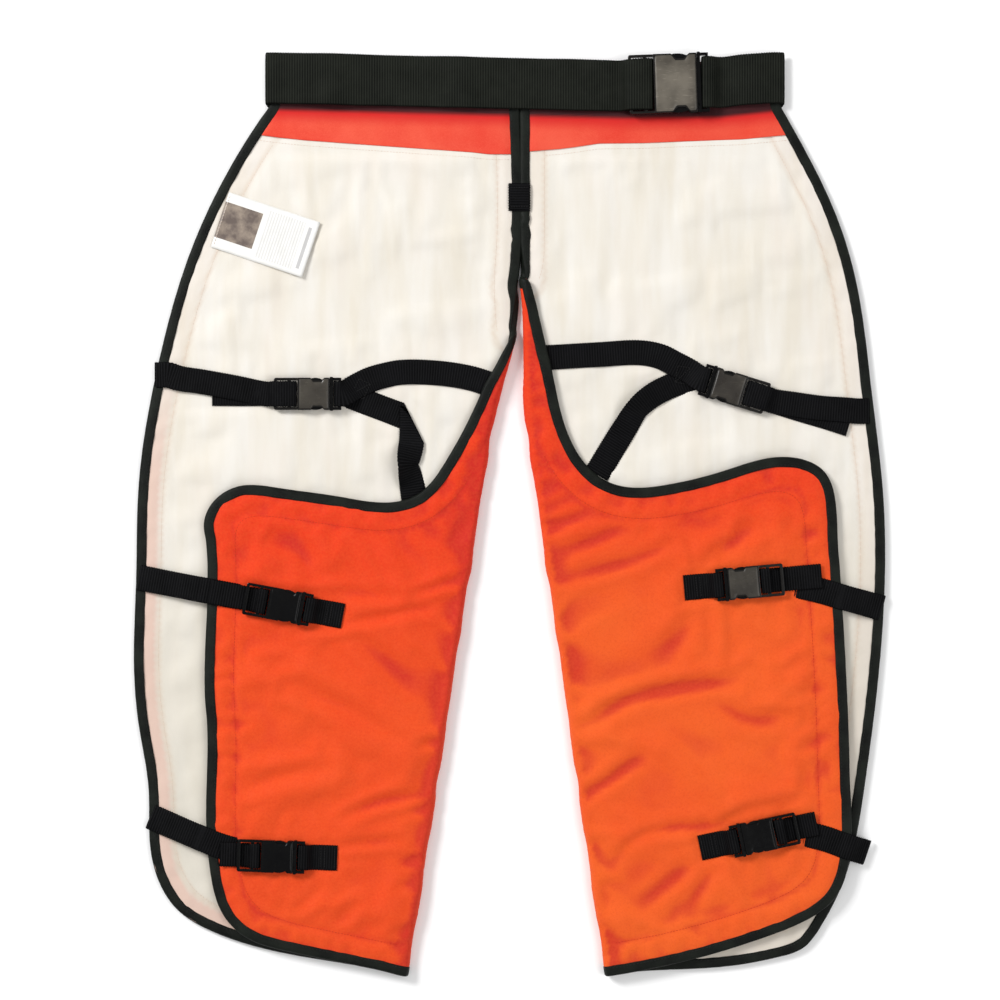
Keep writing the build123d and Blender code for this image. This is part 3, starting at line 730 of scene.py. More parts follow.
def shell_depth(leg, spots, edge, along):
    """Depth of the shell: nearly flat on the floor, round the fold, and puffed on the wrap."""
    t = leg.past(spots)
    share = np.where(leg.folded(spots), smooth_step(t / FOLD_ARC), 0)
    under = 0.95 - 0.75 * smooth_step((edge - HELD_EDGE) / 8) + 0.25 * (1 + ripple(spots, (38, 60), 5))
    quilt = QUILT[leg.side]
    puff = 0.95 - 1.15 * smooth_step((edge - 8.5) / 7) - 1.5 * smooth_step((edge - quilt) / 26)
    puff += 1.25 * bell((edge - quilt) / 2.6)
    puff -= 0.55 * ripple(spots, (42, 30), 11, 25) + 0.25 * ripple(spots, (17, 13), 12, 35)
    pucker = ripple_along(along, 8.5, 21) * bell((edge - 15) / 7)
    puff -= 0.45 * pucker
    lying = leg.flat_place(spots)[:, :2]
    for line, wide, deep in CREASES[leg.side]:
        puff += 1.2 * crease(lying, line, wide, deep) * smooth_step((edge - HELD_EDGE) / 5)
    puff += 2.0 * smooth_step((24 - np.abs(t - FOLD_ARC)) / 26) * smooth_step(edge / 30)
    roll = 0.5 + 1.1 * ripple_along(leg.along(spots), 21, 31) * smooth_step((edge - 12) / 20)
    depth = under * (1 - share) + np.clip(puff, -3.4, 2.2) * share
    on_fold = bell((t - FOLD_ARC / 2) / (0.42 * FOLD_ARC)) * leg.folded(spots)
    return depth * (1 - on_fold) + roll * on_fold


def lining_depth(leg, spots, edge, along):
    """Height of the lining's face over the shell's outer face."""
    t = leg.past(spots)
    depth = 6.1 + 0.35 * smooth_step((edge - HELD_EDGE) / 6) + 1.5 * smooth_step((edge - SEAM) / 45)
    depth -= 0.75 * bell((edge - SEAM) / 2.6)
    depth += 0.6 * ripple(spots, (15, 95), 41, -6) + 0.28 * ripple(spots, (8, 34), 42, 5)
    depth += 0.5 * ripple_along(along, 7.0, 43) * bell((edge - 15) / 7)
    on_wrap = leg.folded(spots) & (t > 0)
    return np.where(on_wrap, np.minimum(depth, 6.0 + 0.1 * ripple(spots, (20, 20), 44)), depth)


def settled(lying, faces, held, swell, cap):
    """Lets a cloth that is a little too large for its place find its own small wrinkles.
    Held is 1 where the cloth is sewn down, and small where it only lies on soft padding.
    Gives how far each point rises or sinks."""
    mesh = bpy.data.meshes.new("settling")
    mesh.from_pydata((lying * MM).tolist(), [], faces)
    cloth = bpy.data.objects.new("settling", mesh)
    bpy.context.scene.collection.objects.link(cloth)
    group = cloth.vertex_groups.new(name="held")
    for level in np.unique(np.round(held, 2)):
        group.add(np.flatnonzero(np.round(held, 2) == level).tolist(), float(level), "REPLACE")
    modifier = cloth.modifiers.new("cloth", "CLOTH")
    settings = modifier.settings
    settings.vertex_group_mass = "held"
    settings.quality = 6
    settings.mass = 0.1
    settings.tension_stiffness = settings.compression_stiffness = 40
    settings.shear_stiffness = 15
    settings.bending_stiffness = 0.3
    settings.shrink_min = -swell
    settings.use_pressure = True
    settings.uniform_pressure_force = 0.4
    settings.effector_weights.gravity = 0
    modifier.collision_settings.use_collision = False
    for step in range(1, 21):
        bpy.context.scene.frame_set(step)
    shape = cloth.evaluated_get(bpy.context.evaluated_depsgraph_get()).data
    rise = np.array([v.co.z for v in shape.vertices]) / MM - lying[:, 2]
    bpy.data.objects.remove(cloth)
    bpy.data.meshes.remove(mesh)
    bpy.context.scene.frame_set(1)
    return cap * np.tanh(rise / cap)


def part_of(faces, chosen):
    """The faces whose points are chosen, renumbered: (numbers of the points, faces)."""
    f = np.array(faces)
    kept = f[chosen[f].all(axis=1)]
    used = np.unique(kept)
    number = np.zeros(len(chosen), int)
    number[used] = np.arange(len(used))
    return used, [tuple(face) for face in number[kept].tolist()]


ABOVE_LEG = tree_of(*[made for n, made in frame["nodes"].items() if not n.endswith("shell")
                      and not n.startswith("leg_") and n != "waist_facing" and "prong" not in n])
ABOVE_WRAP = tree_of(*[made for n, made in frame["nodes"].items() if n.startswith("calf")
                       and "prong" not in n])


def make_leg(leg):
    """The cloth of one leg: the orange shell, the linings and the pads between them."""
    ring = grown(leg.ring, -CLOTH_INSET)
    ring = curve_through(np.vstack([ring, ring[:1]]), CLOTH_STEP)[:-1]
    spots, faces = filled(ring, CLOTH_STEP)
    edge, along = nearest_on(np.vstack([leg.ring, leg.ring[:1]]), spots)
    make_shell(leg, spots, faces, edge, along)
    make_linings(leg, spots, faces, edge, along)
    make_pads(leg)


def make_shell(leg, spots, faces, edge, along):
    """The orange outer cloth, from the floor round the fold and over the wrap."""
    side = leg.side
    t = leg.past(spots)
    lying = leg.place(spots, shell_depth(leg, spots, edge, along))
    top = leg.folded(spots) & (t > FOLD_ARC)
    room = np.full(len(spots), FREE)
    room[top] = room_above(ABOVE_WRAP, lying[top, :2], 2 * FOLD_R - 2.5)
    limit = np.where(room < FREE, room - 0.2, FREE)
    sewn = (edge < HELD_EDGE) | (np.abs(edge - QUILT[side]) < 2.0)
    sewn |= (room < 16.5) | (t < FOLD_ARC * 0.55)
    used, net = part_of(faces, leg.folded(spots) & (t > FOLD_ARC * 0.5))
    rise = settled(lying[used], net, np.where(sewn, 1, SOFT)[used], 0.035, 2.2)
    lying[used, 2] += rise * smooth_step((edge[used] - HELD_EDGE) / 7)
    height = smoothed(np.where(top, np.minimum(lying[:, 2], limit), lying[:, 2]), faces, 1, limit)
    lying[:, 2] = np.where(top, 11.4 + np.logaddexp(0, (height - 11.4) * 2.5) / 2.5, lying[:, 2])
    shell = piece(f"{side}_outer_cloth", lying, faces, ORANGE,
                  ("root", f"{side}_calf_wrap", *FOLD_BLEND),
                  [f"{side}_leg_shell", f"{side}_wrap_shell"])
    # Painted shade: strong on the left fold's shaded side and faint on the right one, in the wrap's
    # dents and along its sewn line.
    strength = 1.0 if side == "left" else 0.1
    fold_painted_shade = strength * bell((t - 0.9 * FOLD_ARC) / 8.5) * leg.folded(spots)
    dent_painted_shade = np.where(top, (2 * FOLD_R - 0.2 - height) / 1.6, 0)
    seam_painted_shade = 0.5 * bell((edge - QUILT[side]) / 1.8) * top
    paint(shell, "crease", np.clip(dent_painted_shade + fold_painted_shade + seam_painted_shade, 0, 1))
    if side == "right":
        warm = 0.1 + 0.85 * smooth_step((50 - lying[:, 1]) / 150)
    else:
        warm = 0.05 + 0.4 * smooth_step((40 - lying[:, 1]) / 240)
    paint(shell, "warm", warm)


def under_tail(side, spots):
    """Which spots the thigh strap's loose tail lies on or slides over."""
    b = buckles[f"thigh_{side}"]
    beside = spots[:, :2] - b.mouth[:2]
    reach, across = beside @ b.axis[:2], beside @ b.across[:2]
    return (reach > 20) & (reach < b.end + b.tail + 32) & (np.abs(across) < 15)


def make_linings(leg, spots, faces, edge, along):
    """The off-white lining of the leg, which shows, and that of the wrap, which faces down."""
    side = leg.side
    over = leg.folded(spots) & (leg.past(spots) > FOLD_ARC * 0.15)
    depth = lining_depth(leg, spots, edge, along)
    flat = ~over
    room = np.full(len(spots), FREE)
    room[flat] = room_above(ABOVE_LEG, leg.place(spots[flat], depth[flat])[:, :2], 5.0)
    limit = np.where(flat, room - 0.12, FREE)
    limit = np.where(flat & (spots[:, 1] > UNDER_FACING), np.minimum(limit, 6.45), limit)
    by_crotch = (np.abs(spots[:, 0] - CENTRE) < 25) & (spots[:, 1] > 180)
    tucked = flat & ((spots[:, 1] > UNDER_FACING) & (edge < 16) | by_crotch & (edge < 12))
    limit = np.where(tucked, np.minimum(limit, 5.8), limit)
    limit = np.where(flat & under_tail(side, spots), np.minimum(limit, PANEL - 0.1), limit)
    used, net = part_of(faces, flat)
    sewn = (edge < HELD_EDGE) | (np.abs(edge - SEAM) < 2.0) | (room < 9.5)
    start = leg.place(spots[used], depth[used])
    rise = settled(start, net, np.where(sewn, 1, SOFT)[used], 0.03, 1.3)
    depth[used] += rise * smooth_step((edge[used] - HELD_EDGE) / 7)
    depth = smoothed(np.minimum(depth, limit), faces, 2, limit)
    lying = leg.place(spots, depth)
    # Painted shade: along the sewn groove, and darker towards the bottom where the light falls off.
    seam = bell((edge - SEAM) / 2.2)
    low_left = smooth_step((170 - spots[:, 1]) / 150) * (side == "left")
    painted_falloff = 0.15 + 0.6 * smooth_step((60 - spots[:, 1]) / 260)
    pink = smooth_step((SEAM - 1 - edge) / 4) * (0.12 + 0.75 * low_left)
    wrap_side = leg.folded(spots) & (leg.past(spots) > FOLD_ARC)
    for part, chosen, body, nodes in (
            ("leg", flat, "root", ["leg_linings"]),
            ("wrap", wrap_side, f"{side}_calf_wrap", [f"{side}_wrap_lining"])):
        used, net = part_of(faces, chosen)
        made = piece(f"{side}_{part}_inner_cloth", lying[used], [f[::-1] for f in net], CREAM, body,
                     nodes)
        # Painted shade: along the sewn groove, and towards the bottom.
        paint(made, "crease", seam[used] * (part == "leg"))
        paint(made, "pink", pink[used])
        paint(made, "painted_falloff", painted_falloff[used])


def make_pads(leg):
    """The protective fibre pads inside the leg and the wrap: low crowned closed forms."""
    side = leg.side
    for part, node, body in (("leg", "leg_pads", "root"),
                             ("wrap", f"{side}_wrap_pad", f"{side}_calf_wrap")):
        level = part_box(node)[1].z / MM
        ring = top_outline(node, side)
        ring = curve_through(np.vstack([thinned(ring, 2.0), ring[:1]]), PAD_STEP)[:-1]
        spots, faces = filled(ring, PAD_STEP)
        edge = nearest_on(np.vstack([ring, ring[:1]]), spots)[0]
        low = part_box(node)[0].z / MM + 0.3
        crown = smooth_step(edge / 22)
        rise = (level - low - 0.5) * (0.2 + 0.5 * crown)
        middle = low + 0.4 * (level - low)
        upper = np.column_stack([spots, middle + rise / 2])
        lower = np.column_stack([spots, middle - rise / 2])
        count = len(spots)
        rim = len(ring)
        both = list(faces) + [tuple(count + i for i in reversed(f)) for f in faces]
        for i in range(rim):
            j = (i + 1) % rim
            both.append((i, count + i, count + j, j))
        made = piece(f"{side}_pad_{part}", np.vstack([upper, lower]), both, PAD_FELT, body,
                     [node])


# ---- binding tape --------------------------------------------------------------------------------
TAPE_SECTION = [    # (distance in from the edge, depth), from the lining's side round to the shell's
    (10.0, 6.3), (9.7, 6.95), (8.9, 7.12), (7.0, 7.2), (4.5, 7.25), (2.4, 7.05), (1.0, 6.5),
    (0.2, 5.5), (0.0, 4.2), (0.0, 2.8), (0.2, 1.6), (0.9, 0.6), (2.2, 0.1), (4.5, 0.0),
    (7.0, 0.0), (8.9, 0.05), (9.7, 0.2), (10.0, 0.8),
    (8.5, 0.75), (3.0, 0.8), (1.2, 1.6), (0.9, 3.5), (1.2, 5.4), (3.0, 6.35), (8.5, 6.3),
]
TAPE_STEP = 2.4
BELT_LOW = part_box("belt_left")[0].y / MM


def tape_path(leg):
    """The bound edge of the flat pattern, from the waist down round the hems and up again."""
    ring = leg.ring
    bound = ring[:, 1] < BELT_LOW + 12
    start = [i for i in range(len(ring)) if bound[i] and not bound[i - 1]][0]
    ring = np.roll(ring, -start, axis=0)
    bound = np.roll(bound, -start)
    return eased(even(ring[bound], TAPE_STEP), 5)


def gathers(path):
    """How strongly the tape is gathered: most below the crotch keeper, a little elsewhere."""
    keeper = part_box("crotch_keeper")[0].y / MM
    near_centre = np.abs(path[:, 0] - CENTRE) < 12
    below = smooth_step((keeper + 2 - path[:, 1]) / 6) * smooth_step((path[:, 1] - 250) / 20)
    return np.where(near_centre, 0.25 + 1.5 * below, 0.25)


def make_tape(leg):
    """Binding tape folded over every free edge, with its stitching on both sides."""
    side = leg.side
    path = tape_path(leg)
    heading = unit(np.gradient(path, axis=0))
    inward = np.column_stack([-heading[:, 1], heading[:, 0]])
    along = np.arange(len(path)) * TAPE_STEP
    gather = gathers(path)
    under_belt = path[:, 1] > BELT_LOW - 1
    pressed = (under_tail(side, path) | under_belt) & ~leg.folded(path)
    highest = np.where(pressed, PANEL - 0.1, 9.0)
    columns = []
    for q, depth in TAPE_SECTION:
        flange = smooth_step(q / 5)
        wave = ripple_along(along, 6.5, 51) * gather + 0.12 * ripple_along(along, 3.4, 52)
        side_wave = ripple_along(along, 5.2, 53) * gather * 0.9
        lift = flange * wave * 0.8
        lift = np.maximum(lift, -0.2) if depth > PANEL / 2 else -0.25 * lift
        spot = path + inward * (q + side_wave * (0.3 + 0.5 * flange))[:, None]
        columns.append(leg.place(spot, np.clip(depth + lift, 0.0, highest)))
    grid = np.stack(columns, axis=1)
    t = leg.past(path)
    zone = np.where(leg.folded(path), np.where(t < FOLD_ARC, 1, 2), 0)
    changes = [0] + [i for i in range(1, len(zone)) if zone[i] != zone[i - 1]] + [len(zone)]
    parts = {0: ([], []), 1: ([], []), 2: ([], [])}
    section = len(TAPE_SECTION)
    for start, end in zip(changes[:-1], changes[1:]):
        rows = grid[start:min(end + 1, len(grid))]
        spots, faces = parts[zone[start]]
        faces += net_of(len(rows), section, closed=True, start=len(spots))
        base = len(spots)
        spots += [tuple(p) for p in rows.reshape(-1, 3)]
        for row in (0, len(rows) - 1):
            if (start, end)[row > 0] in (0, len(zone)):
                cap = tuple(base + row * section + k for k in range(section))
                faces.append(cap if row else cap[::-1])
    wrap = f"{side}_calf_wrap"
    bodies = {0: "root", 1: ("root", wrap, *FOLD_BLEND), 2: wrap}
    names = {0: "leg", 1: "fold", 2: "wrap"}
    nodes = {0: ["leg_bindings"], 1: [], 2: [f"{side}_wrap_binding"]}
    for key, (spots, faces) in parts.items():
        piece(f"{side}_{names[key]}_tape", spots, faces, TAPE, bodies[key],
              nodes[key])
    for key in (0, 2):
        runs = []
        for depth in (7.2, -0.02):
            for start, end in zip(changes[:-1], changes[1:]):
                if zone[start] == key and end - start > 8:
                    spot = path[start:end] + inward[start:end] * 8.0
                    line = leg.place(spot, np.full(end - start, depth))
                    open_top = ~pressed[start:end] | (depth < 1)
                    runs += [run for run in split_runs(line, open_top) if len(run) > 2]
        stitches(f"{side}_{names[key]}_tape_stitches", runs, BLACK_THREAD, bodies[key],
                 3.4, 0.24)


# ---- stitches ------------------------------------------------------------------------------------
def stitches(name, runs, material, body, pitch, radius):
    """Rows of stitches: each is a short spindle of thread that dips in at both ends."""
    spots, faces = [], []
    for run in runs:
        line = even(run, pitch)
        for a, b in zip(line[:-1], line[1:]):
            heading = (b - a) / np.linalg.norm(b - a)
            side = np.cross(heading, (0.0, 0.0, 1.0))
            side /= max(np.linalg.norm(side), 1e-6)
            up = np.cross(side, heading)
            base = len(spots)
            spots += [tuple(a + heading * 0.12 * pitch), tuple(a + heading * 0.88 * pitch)]
            for share in (0.3, 0.7):
                middle = a + heading * share * pitch
                for k in range(4):
                    turn = math.pi / 2 * k
                    spots.append(tuple(middle + radius * (math.cos(turn) * side * 1.3
                                                          + math.sin(turn) * up)))
            for k in range(4):
                m, n = base + 2 + k, base + 2 + (k + 1) % 4
                faces += [(base, n, m), (m, n, n + 4, m + 4), (m + 4, n + 4, base + 1)]
    return piece(name, spots, faces, material, body)


# ---- webbing -------------------------------------------------------------------------------------
def frame_along(line, side=None):
    """Side and upward directions along a strap that lies flat in plan, also where it turns back."""
    heading = unit(np.gradient(line, axis=0))
    if side is not None:
        sides = np.tile(np.array(side, float), (len(line), 1))
        return sides, unit(np.cross(heading, sides))
    plan = heading[:, :2].copy()
    firm = np.linalg.norm(plan, axis=1) > 0.35
    sides = np.zeros((len(line), 3))
    last = None
    order = list(range(len(line)))
    first = int(np.flatnonzero(firm)[0])
    for i in order[first:] + order[:first][::-1]:
        if i == first - 1:
            last = sides[first]
        side = np.array([-plan[i, 1], plan[i, 0], 0.0])
        if last is not None and not firm[i]:
            side = last
        side = unit(side)
        if last is not None and side @ last < 0:
            side = -side
        sides[i] = side
        last = side
    for _ in range(6):
        sides[1:-1] = unit(0.25 * sides[:-2] + 0.5 * sides[1:-1] + 0.25 * sides[2:])
    up = unit(np.cross(heading, sides))
    return sides, up


def ribbon(name, route, wide, thick, material, body, nodes=(), tilt=None, seed=1,
           side=None, cut=None):
    """Ribbed webbing along a route of points. Tilt gives the twist in degrees along it, and cut a
    crease, as (point, direction), past which the webbing doesn't go."""
    step = RIB / 4
    line = eased(curve_through(route, step, sharp=100.0), 8)
    sides, up = frame_along(line, side)
    along = np.arange(len(line)) * step
    if tilt is not None:
        angle = np.radians(np.interp(along / along[-1], *zip(*tilt)))[:, None]
        c, s = np.cos(angle), np.sin(angle)
        sides, up = sides * c + up * s, up * c - sides * s
    crest = 0.5 + 0.5 * np.cos(2 * math.pi * along / RIB)
    half = wide / 2
    across = np.array([-1, -0.93, -0.7, -0.35, 0, 0.35, 0.7, 0.93, 1.0])
    top = np.array([0.0, 0.8, 1, 1, 1, 1, 1, 0.8, 0.0])
    upper = list(zip(across, top))
    shape = upper + [(v, -h) for v, h in upper[-2:0:-1]]
    columns, crests = [], []
    for v, h in shape:
        edge = abs(v) > 0.9
        wobble = 0.25 * ripple_along(along + 40 * seed, 30, 60 + seed) * np.sign(v)
        reach = v * half - (0.6 * (1 - crest) if edge else 0) * np.sign(v) + wobble * abs(v)
        height = h * thick * (0.26 + 0.28 * crest)
        columns.append(line + sides * np.asarray(reach)[:, None] + up * height[:, None])
        crests.append(crest * (abs(h) > 0.5))
    grid = np.stack(columns, axis=1)
    if cut is not None:
        heading = unit(np.gradient(line, axis=0))[:, None, :]
        normal = np.array([*cut[1], 0.0])
        beyond = np.maximum((grid - np.array([*cut[0], 0.0])) @ normal, 0)
        grid = grid - heading * (beyond * 0.999 / (heading @ normal))[..., None]
    count = len(shape)
    faces = net_of(len(line), count, closed=True)
    faces.append(tuple(range(count))[::-1])
    faces.append(tuple((len(line) - 1) * count + k for k in range(count)))
    faces = [f[::-1] for f in faces]
    made = piece(name, grid.reshape(-1, 3), faces, material, body, nodes)
    # Where the rib crests lie, for the painted highlight in the webbing's material.
    paint(made, "crest", np.stack(crests, axis=1).ravel())
    return made


class Buckle:
    """A buckle's place in the frame, and its sizes: u from the male half to the female, v across."""

    def __init__(self, name):
        self.name = name
        self.webbing, self.tail = BUCKLES[name]
        big = self.webbing > 30
        a, b = (np.array(joints[f"{name}_squeeze_{end}"]["pos_m"]) / MM for end in "ab")
        self.mouth = (a + b) / 2
        self.axis = unit(np.array(joints[f"{name}_adjust"]["axis"]))
        self.across = np.cross((0.0, 0.0, 1.0), self.axis)
        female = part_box(f"{name}_buckle_female")
        self.base, self.top = female[0].z / MM, female[1].z / MM
        self.tall = self.top - self.base
        self.half = self.webbing / 2 + (3.5 if big else 3.0)
        self.body, self.ladder = (42.0, 24.0) if big else (31.0, 23.0)
        self.low, self.high = 1.8, self.tall - 1.4
        self.bar, self.bar_u = 2.8, self.body + 7.0
        self.male_back = 11.0
        self.thick = BELT_PLY if big else PLY
        self.end = self.body + self.ladder

    def at(self, u, w=0.0, v=0.0):
        """A point from the buckle's own axes: u along, w above its base, v across."""
        spot = self.mouth + self.axis * u + self.across * v
        return (spot[0], spot[1], self.base + w)

    def male_loop(self):
        """Route of webbing over the male bar and back under it, from the strap's side."""
        over = self.high + self.thick / 2 + 0.15
        under = self.low - self.thick / 2 - 0.15
        slot = -3.4 - self.thick / 2
        rise = -self.male_back - 1.5
        middle = (over + under) / 2
        return [self.at(rise, over), self.at(slot - 1.8, over + 0.1),
                self.at(slot - 0.2, over - 1.6), self.at(slot, middle),
                self.at(slot - 1.4, under), self.at(rise + 1.0, under)]

    def ladder_over(self):
        """Route over the adjuster's end bar and down before its middle bar."""
        over = self.high + self.thick / 2 + 0.15
        slot = self.body + 0.4 + self.thick / 2
        return [self.at(self.end + 1.0, over), self.at(slot + 2.4, over + 0.1),
                self.at(slot + 0.3, over - 1.2), self.at(slot, (over + self.low) / 2),
                self.at(slot + 1.2, self.low + 0.2), self.at(slot + 3.2, self.low - 0.3)]

    def ladder_under(self, level):
        """Route under the adjuster, up before its middle bar and over that bar."""
        over = self.high + self.thick / 2 + 0.15
        slot = self.body + 0.4 + self.thick / 2
        return [self.at(slot + 3.0, level), self.at(slot, (over + level) / 2),
                self.at(slot + 2.4, over), self.at(self.bar_u + self.bar, over + 0.1)]


buckles = {name: Buckle(name) for name in BUCKLES}


def make_belt():
    """The belt: a rear ply each side of its buckle, the loose tail and the front ply in the casing."""
    b = buckles["belt"]
    left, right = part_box("belt_left")[0].x / MM + 0.7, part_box("belt_right")[1].x / MM - 0.7
    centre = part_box("belt_right")[1].y / MM - 25.0
    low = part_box("belt_front")[0].z / MM + 0.7
    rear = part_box("belt_tail")[0].z / MM + 1.5 * BELT_PLY + 0.3
    meet = b.at(b.end + 8.0)
    behind = centre - 9.4

    def over(x, lift):
        """A point of the long ply, which runs straight from the left end to the buckle."""
        share = (x - left) / (meet[0] - left)
        return (x, centre + (meet[1] - centre) * share, rear + lift)

    turn = [(left + 16, behind, low), (left + 5.0, behind + 3, low),
            (left + 0.7, centre - 1, low + 1.8), (left, centre, (low + rear) / 2),
            (left + 0.7, centre, rear - 1.6)]
    lifts = ((4.6, 0.1), (20, 0.2), (42, 1.4), (64, 4.0), (86, 1.3), (126, 0.3), (168, 0.6),
             (190, 2.6), (210, 0.8), (252, 0.3), (296, 0.9), (330, 0.4))
    route = turn + [over(left + dx, lift) for dx, lift in lifts] + [over(meet[0], 0.2)]
    ribbon("belt_rear_long", route + b.ladder_over(), 50, BELT_PLY, BELT_CLOTH,
           ("root", "belt_buckle", (-60, centre, rear), b.at(b.end - 4.0)), ["belt_left"], seed=1,
           side=(0, 1, 0))
    foot = b.at(-b.male_back - 12.0)
    route = b.male_loop()[::-1] + [(foot[0], foot[1], rear)]
    route += [(right - 42, centre - 2, rear + 0.5), (right - 26, centre - 1, rear + 1.9),
              (right - 12, centre, rear + 0.6)]
    route += [(right + left - x, y, z) for x, y, z in turn[::-1]]
    ribbon("belt_rear_short", route, 50, BELT_PLY, BELT_CLOTH, "root", ["belt_right"], seed=2,
           side=(0, 1, 0))
    front = [(x, behind, low) for x in (left + 14, left + 130, right - 130, right - 14)]
    ribbon("belt_front_ply", front, 48, BELT_PLY, BELT_CLOTH, "root", ["belt_front"], seed=3,
           side=(0, 1, 0))
    far = b.at(b.end + b.tail)
    make_tail(b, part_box("belt_tail")[0].z / MM + 0.7, BELT_CLOTH, 49, far[1] - over(far[0], 0)[1])


def make_tail(b, level, material, wide, swing=0.0):
    """A loose tail that leaves the adjuster underneath and lies below its strap. Swing is how far
    its end lies off the buckle's own line."""
    under = b.low - b.thick / 2 - 0.1
    w = level - b.base
    start = b.bar_u - 0.2
    route = [b.at(start - 0.9, b.low + 0.6), b.at(start + 0.6, under), b.at(start + 5.0, under),
             b.at(start + 9.0, w), b.at(start + 20.0, w), b.at(b.end + b.tail * 0.6, w, swing * 0.6),
             b.at(b.end + b.tail, w, swing)]
    ribbon(f"{b.name}_loose_tail", route, wide, b.thick, material, f"{b.name}_buckle",
           [f"{b.name}_tail"], seed=4)


THIGH_FEET = {"left": (-341.5, 134.2, 1), "right": (347.5, 99.3, -1)}
THIGH_OUTER = {
    "left": [(-320, 131.2), (-298.7, 127.9), (-262, 121.2)],
    "right": [(322, 100.6), (299.6, 102.3), (273, 106.0)],
}
THIGH_UPPER = {
    "left": [(-19, 125.4), (-38.1, 131.2), (-67.1, 135.8), (-105.7, 136.6), (-121, 133.6),
             (-135, 129.4), (-149, 122.6)],
    "right": [(34, 150.8), (87.3, 153.9), (128, 155.5), (146, 151.8), (160, 144.8), (174, 137.6)],
}
THIGH_LOWER = {     # points with how far each lies above the lining
    "left": [(-92, 12, 0.7), (-94, 27, 0.8), (-97.5, 48, 7.6), (-94.6, 70, 1.8), (-94.2, 90, 1.5),
             (-94.2, 104, 1.5)],
    "right": [(84, 38, 0.7), (91.5, 50.5, 0.2), (112, 84, 1.5), (124, 102.5, 4.4), (139, 115, 2.4),
              (158, 124.5, 0.2), (176, 131.5, 0.0)],
}
LEFT_END = [(-76, 84.4, 0.0), (-92.6, 90.7, 0.0), (-118.2, 100.4, 0.0), (-156, 114.6, 0.0)]
LEFT_CREASE = ((-92.6, 88.8), (0.894, 0.447))
TWIST = {
    "left": [(0, 0), (0.14, 4), (0.38, 38), (0.6, 0), (1, 0)],
    "right": [(0, 0), (0.3, 0), (0.55, 20), (0.8, 0), (1, 0)],
}


def make_thigh(side):
    """A thigh strap with its tail, and the two branches from the inner thigh to the male half."""
    b = buckles[f"thigh_{side}"]
    x, y, way = THIGH_FEET[side]
    strap_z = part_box(f"thigh_{side}_tail")[0].z / MM + PLY + 0.3 + PLY / 2
    climb = ((-1.0, 6.2), (0.5, 7.6), (4, 8.0), (12, 8.7))      # distance in, height
    foot = [(x + inward * way, y, z) for inward, z in climb]
    middle = [(px, py, strap_z) for px, py in THIGH_OUTER[side]]
    over = b.at(b.end + 7.0)
    route = foot + middle + [(over[0], over[1], strap_z + 0.3)] + b.ladder_over()
    ribbon(f"thigh_{side}_outer_strap", route, 25, PLY, STRAP_CLOTH,
           ("root", f"thigh_{side}_buckle", foot[3], b.at(b.end - 2.0)),
           [f"thigh_{side}_strap"], seed=5)
    make_tail(b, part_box(f"thigh_{side}_tail")[0].z / MM + PLY / 2, STRAP_CLOTH, 24)
    low = PANEL + PLY / 2
    level = low + PLY + 0.1
    wrap = f"{side}_calf_wrap"
    upper = [(px, py, level) for px, py in THIGH_UPPER[side]] + b.male_loop()
    ribbon(f"thigh_{side}_upper_branch", upper, 25, PLY, STRAP_CLOTH,
           ("root", wrap, upper[3], upper[0]), [f"thigh_{side}_y_strap"], seed=6)
    lower = [(px, py, low + lift) for px, py, lift in THIGH_LOWER[side]]
    if side == "left":
        end = [(px, py, low + lift) for px, py, lift in LEFT_END]
        ribbon("thigh_left_lower_end", end, 25, PLY, STRAP_CLOTH, "root",
               [f"thigh_{side}_y_strap"], seed=13, cut=LEFT_CREASE)
    ribbon(f"thigh_{side}_lower_branch", lower, 25, PLY, STRAP_CLOTH,
           ("root", wrap, lower[-2], lower[0]), [f"thigh_{side}_y_strap"], tilt=TWIST[side], seed=7,
           cut=LEFT_CREASE if side == "left" else None)
    shift, turn = (-5.0, -25.0) if side == "left" else (-1.5, 8.0)
    spot = np.array(b.at(-b.male_back - 19.0, level + 0.75 - b.base, shift))
    turn = np.radians(turn)
    ahead = b.axis * math.cos(turn) + b.across * math.sin(turn)
    aside = np.cross((0.0, 0.0, 1.0), ahead)
    box = [spot + ahead * du + aside * dv for du, dv in
           ((-6, -8), (6, -8), (6, 8), (-6, 8), (-6, -8), (6, 8))]
    rows = [np.array([p, q]) for p, q in zip(box[:-1], box[1:])]
    stitches(f"thigh_{side}_branch_stitches", rows, BLACK_THREAD, "root", 2.6, 0.26)


CALF_ANCHORS = {   # where a strap leaves the leg's edge, and how far it takes to climb to the wrap
    "calf_left_upper": ((-355.0, -62.0), 52.0),
    "calf_left_lower": ((-343.5, -293.5), 40.0),
    "calf_right_upper": ((356.5, -90.0), 30.0),
    "calf_right_lower": ((341.5, -326.0), 12.0),
}


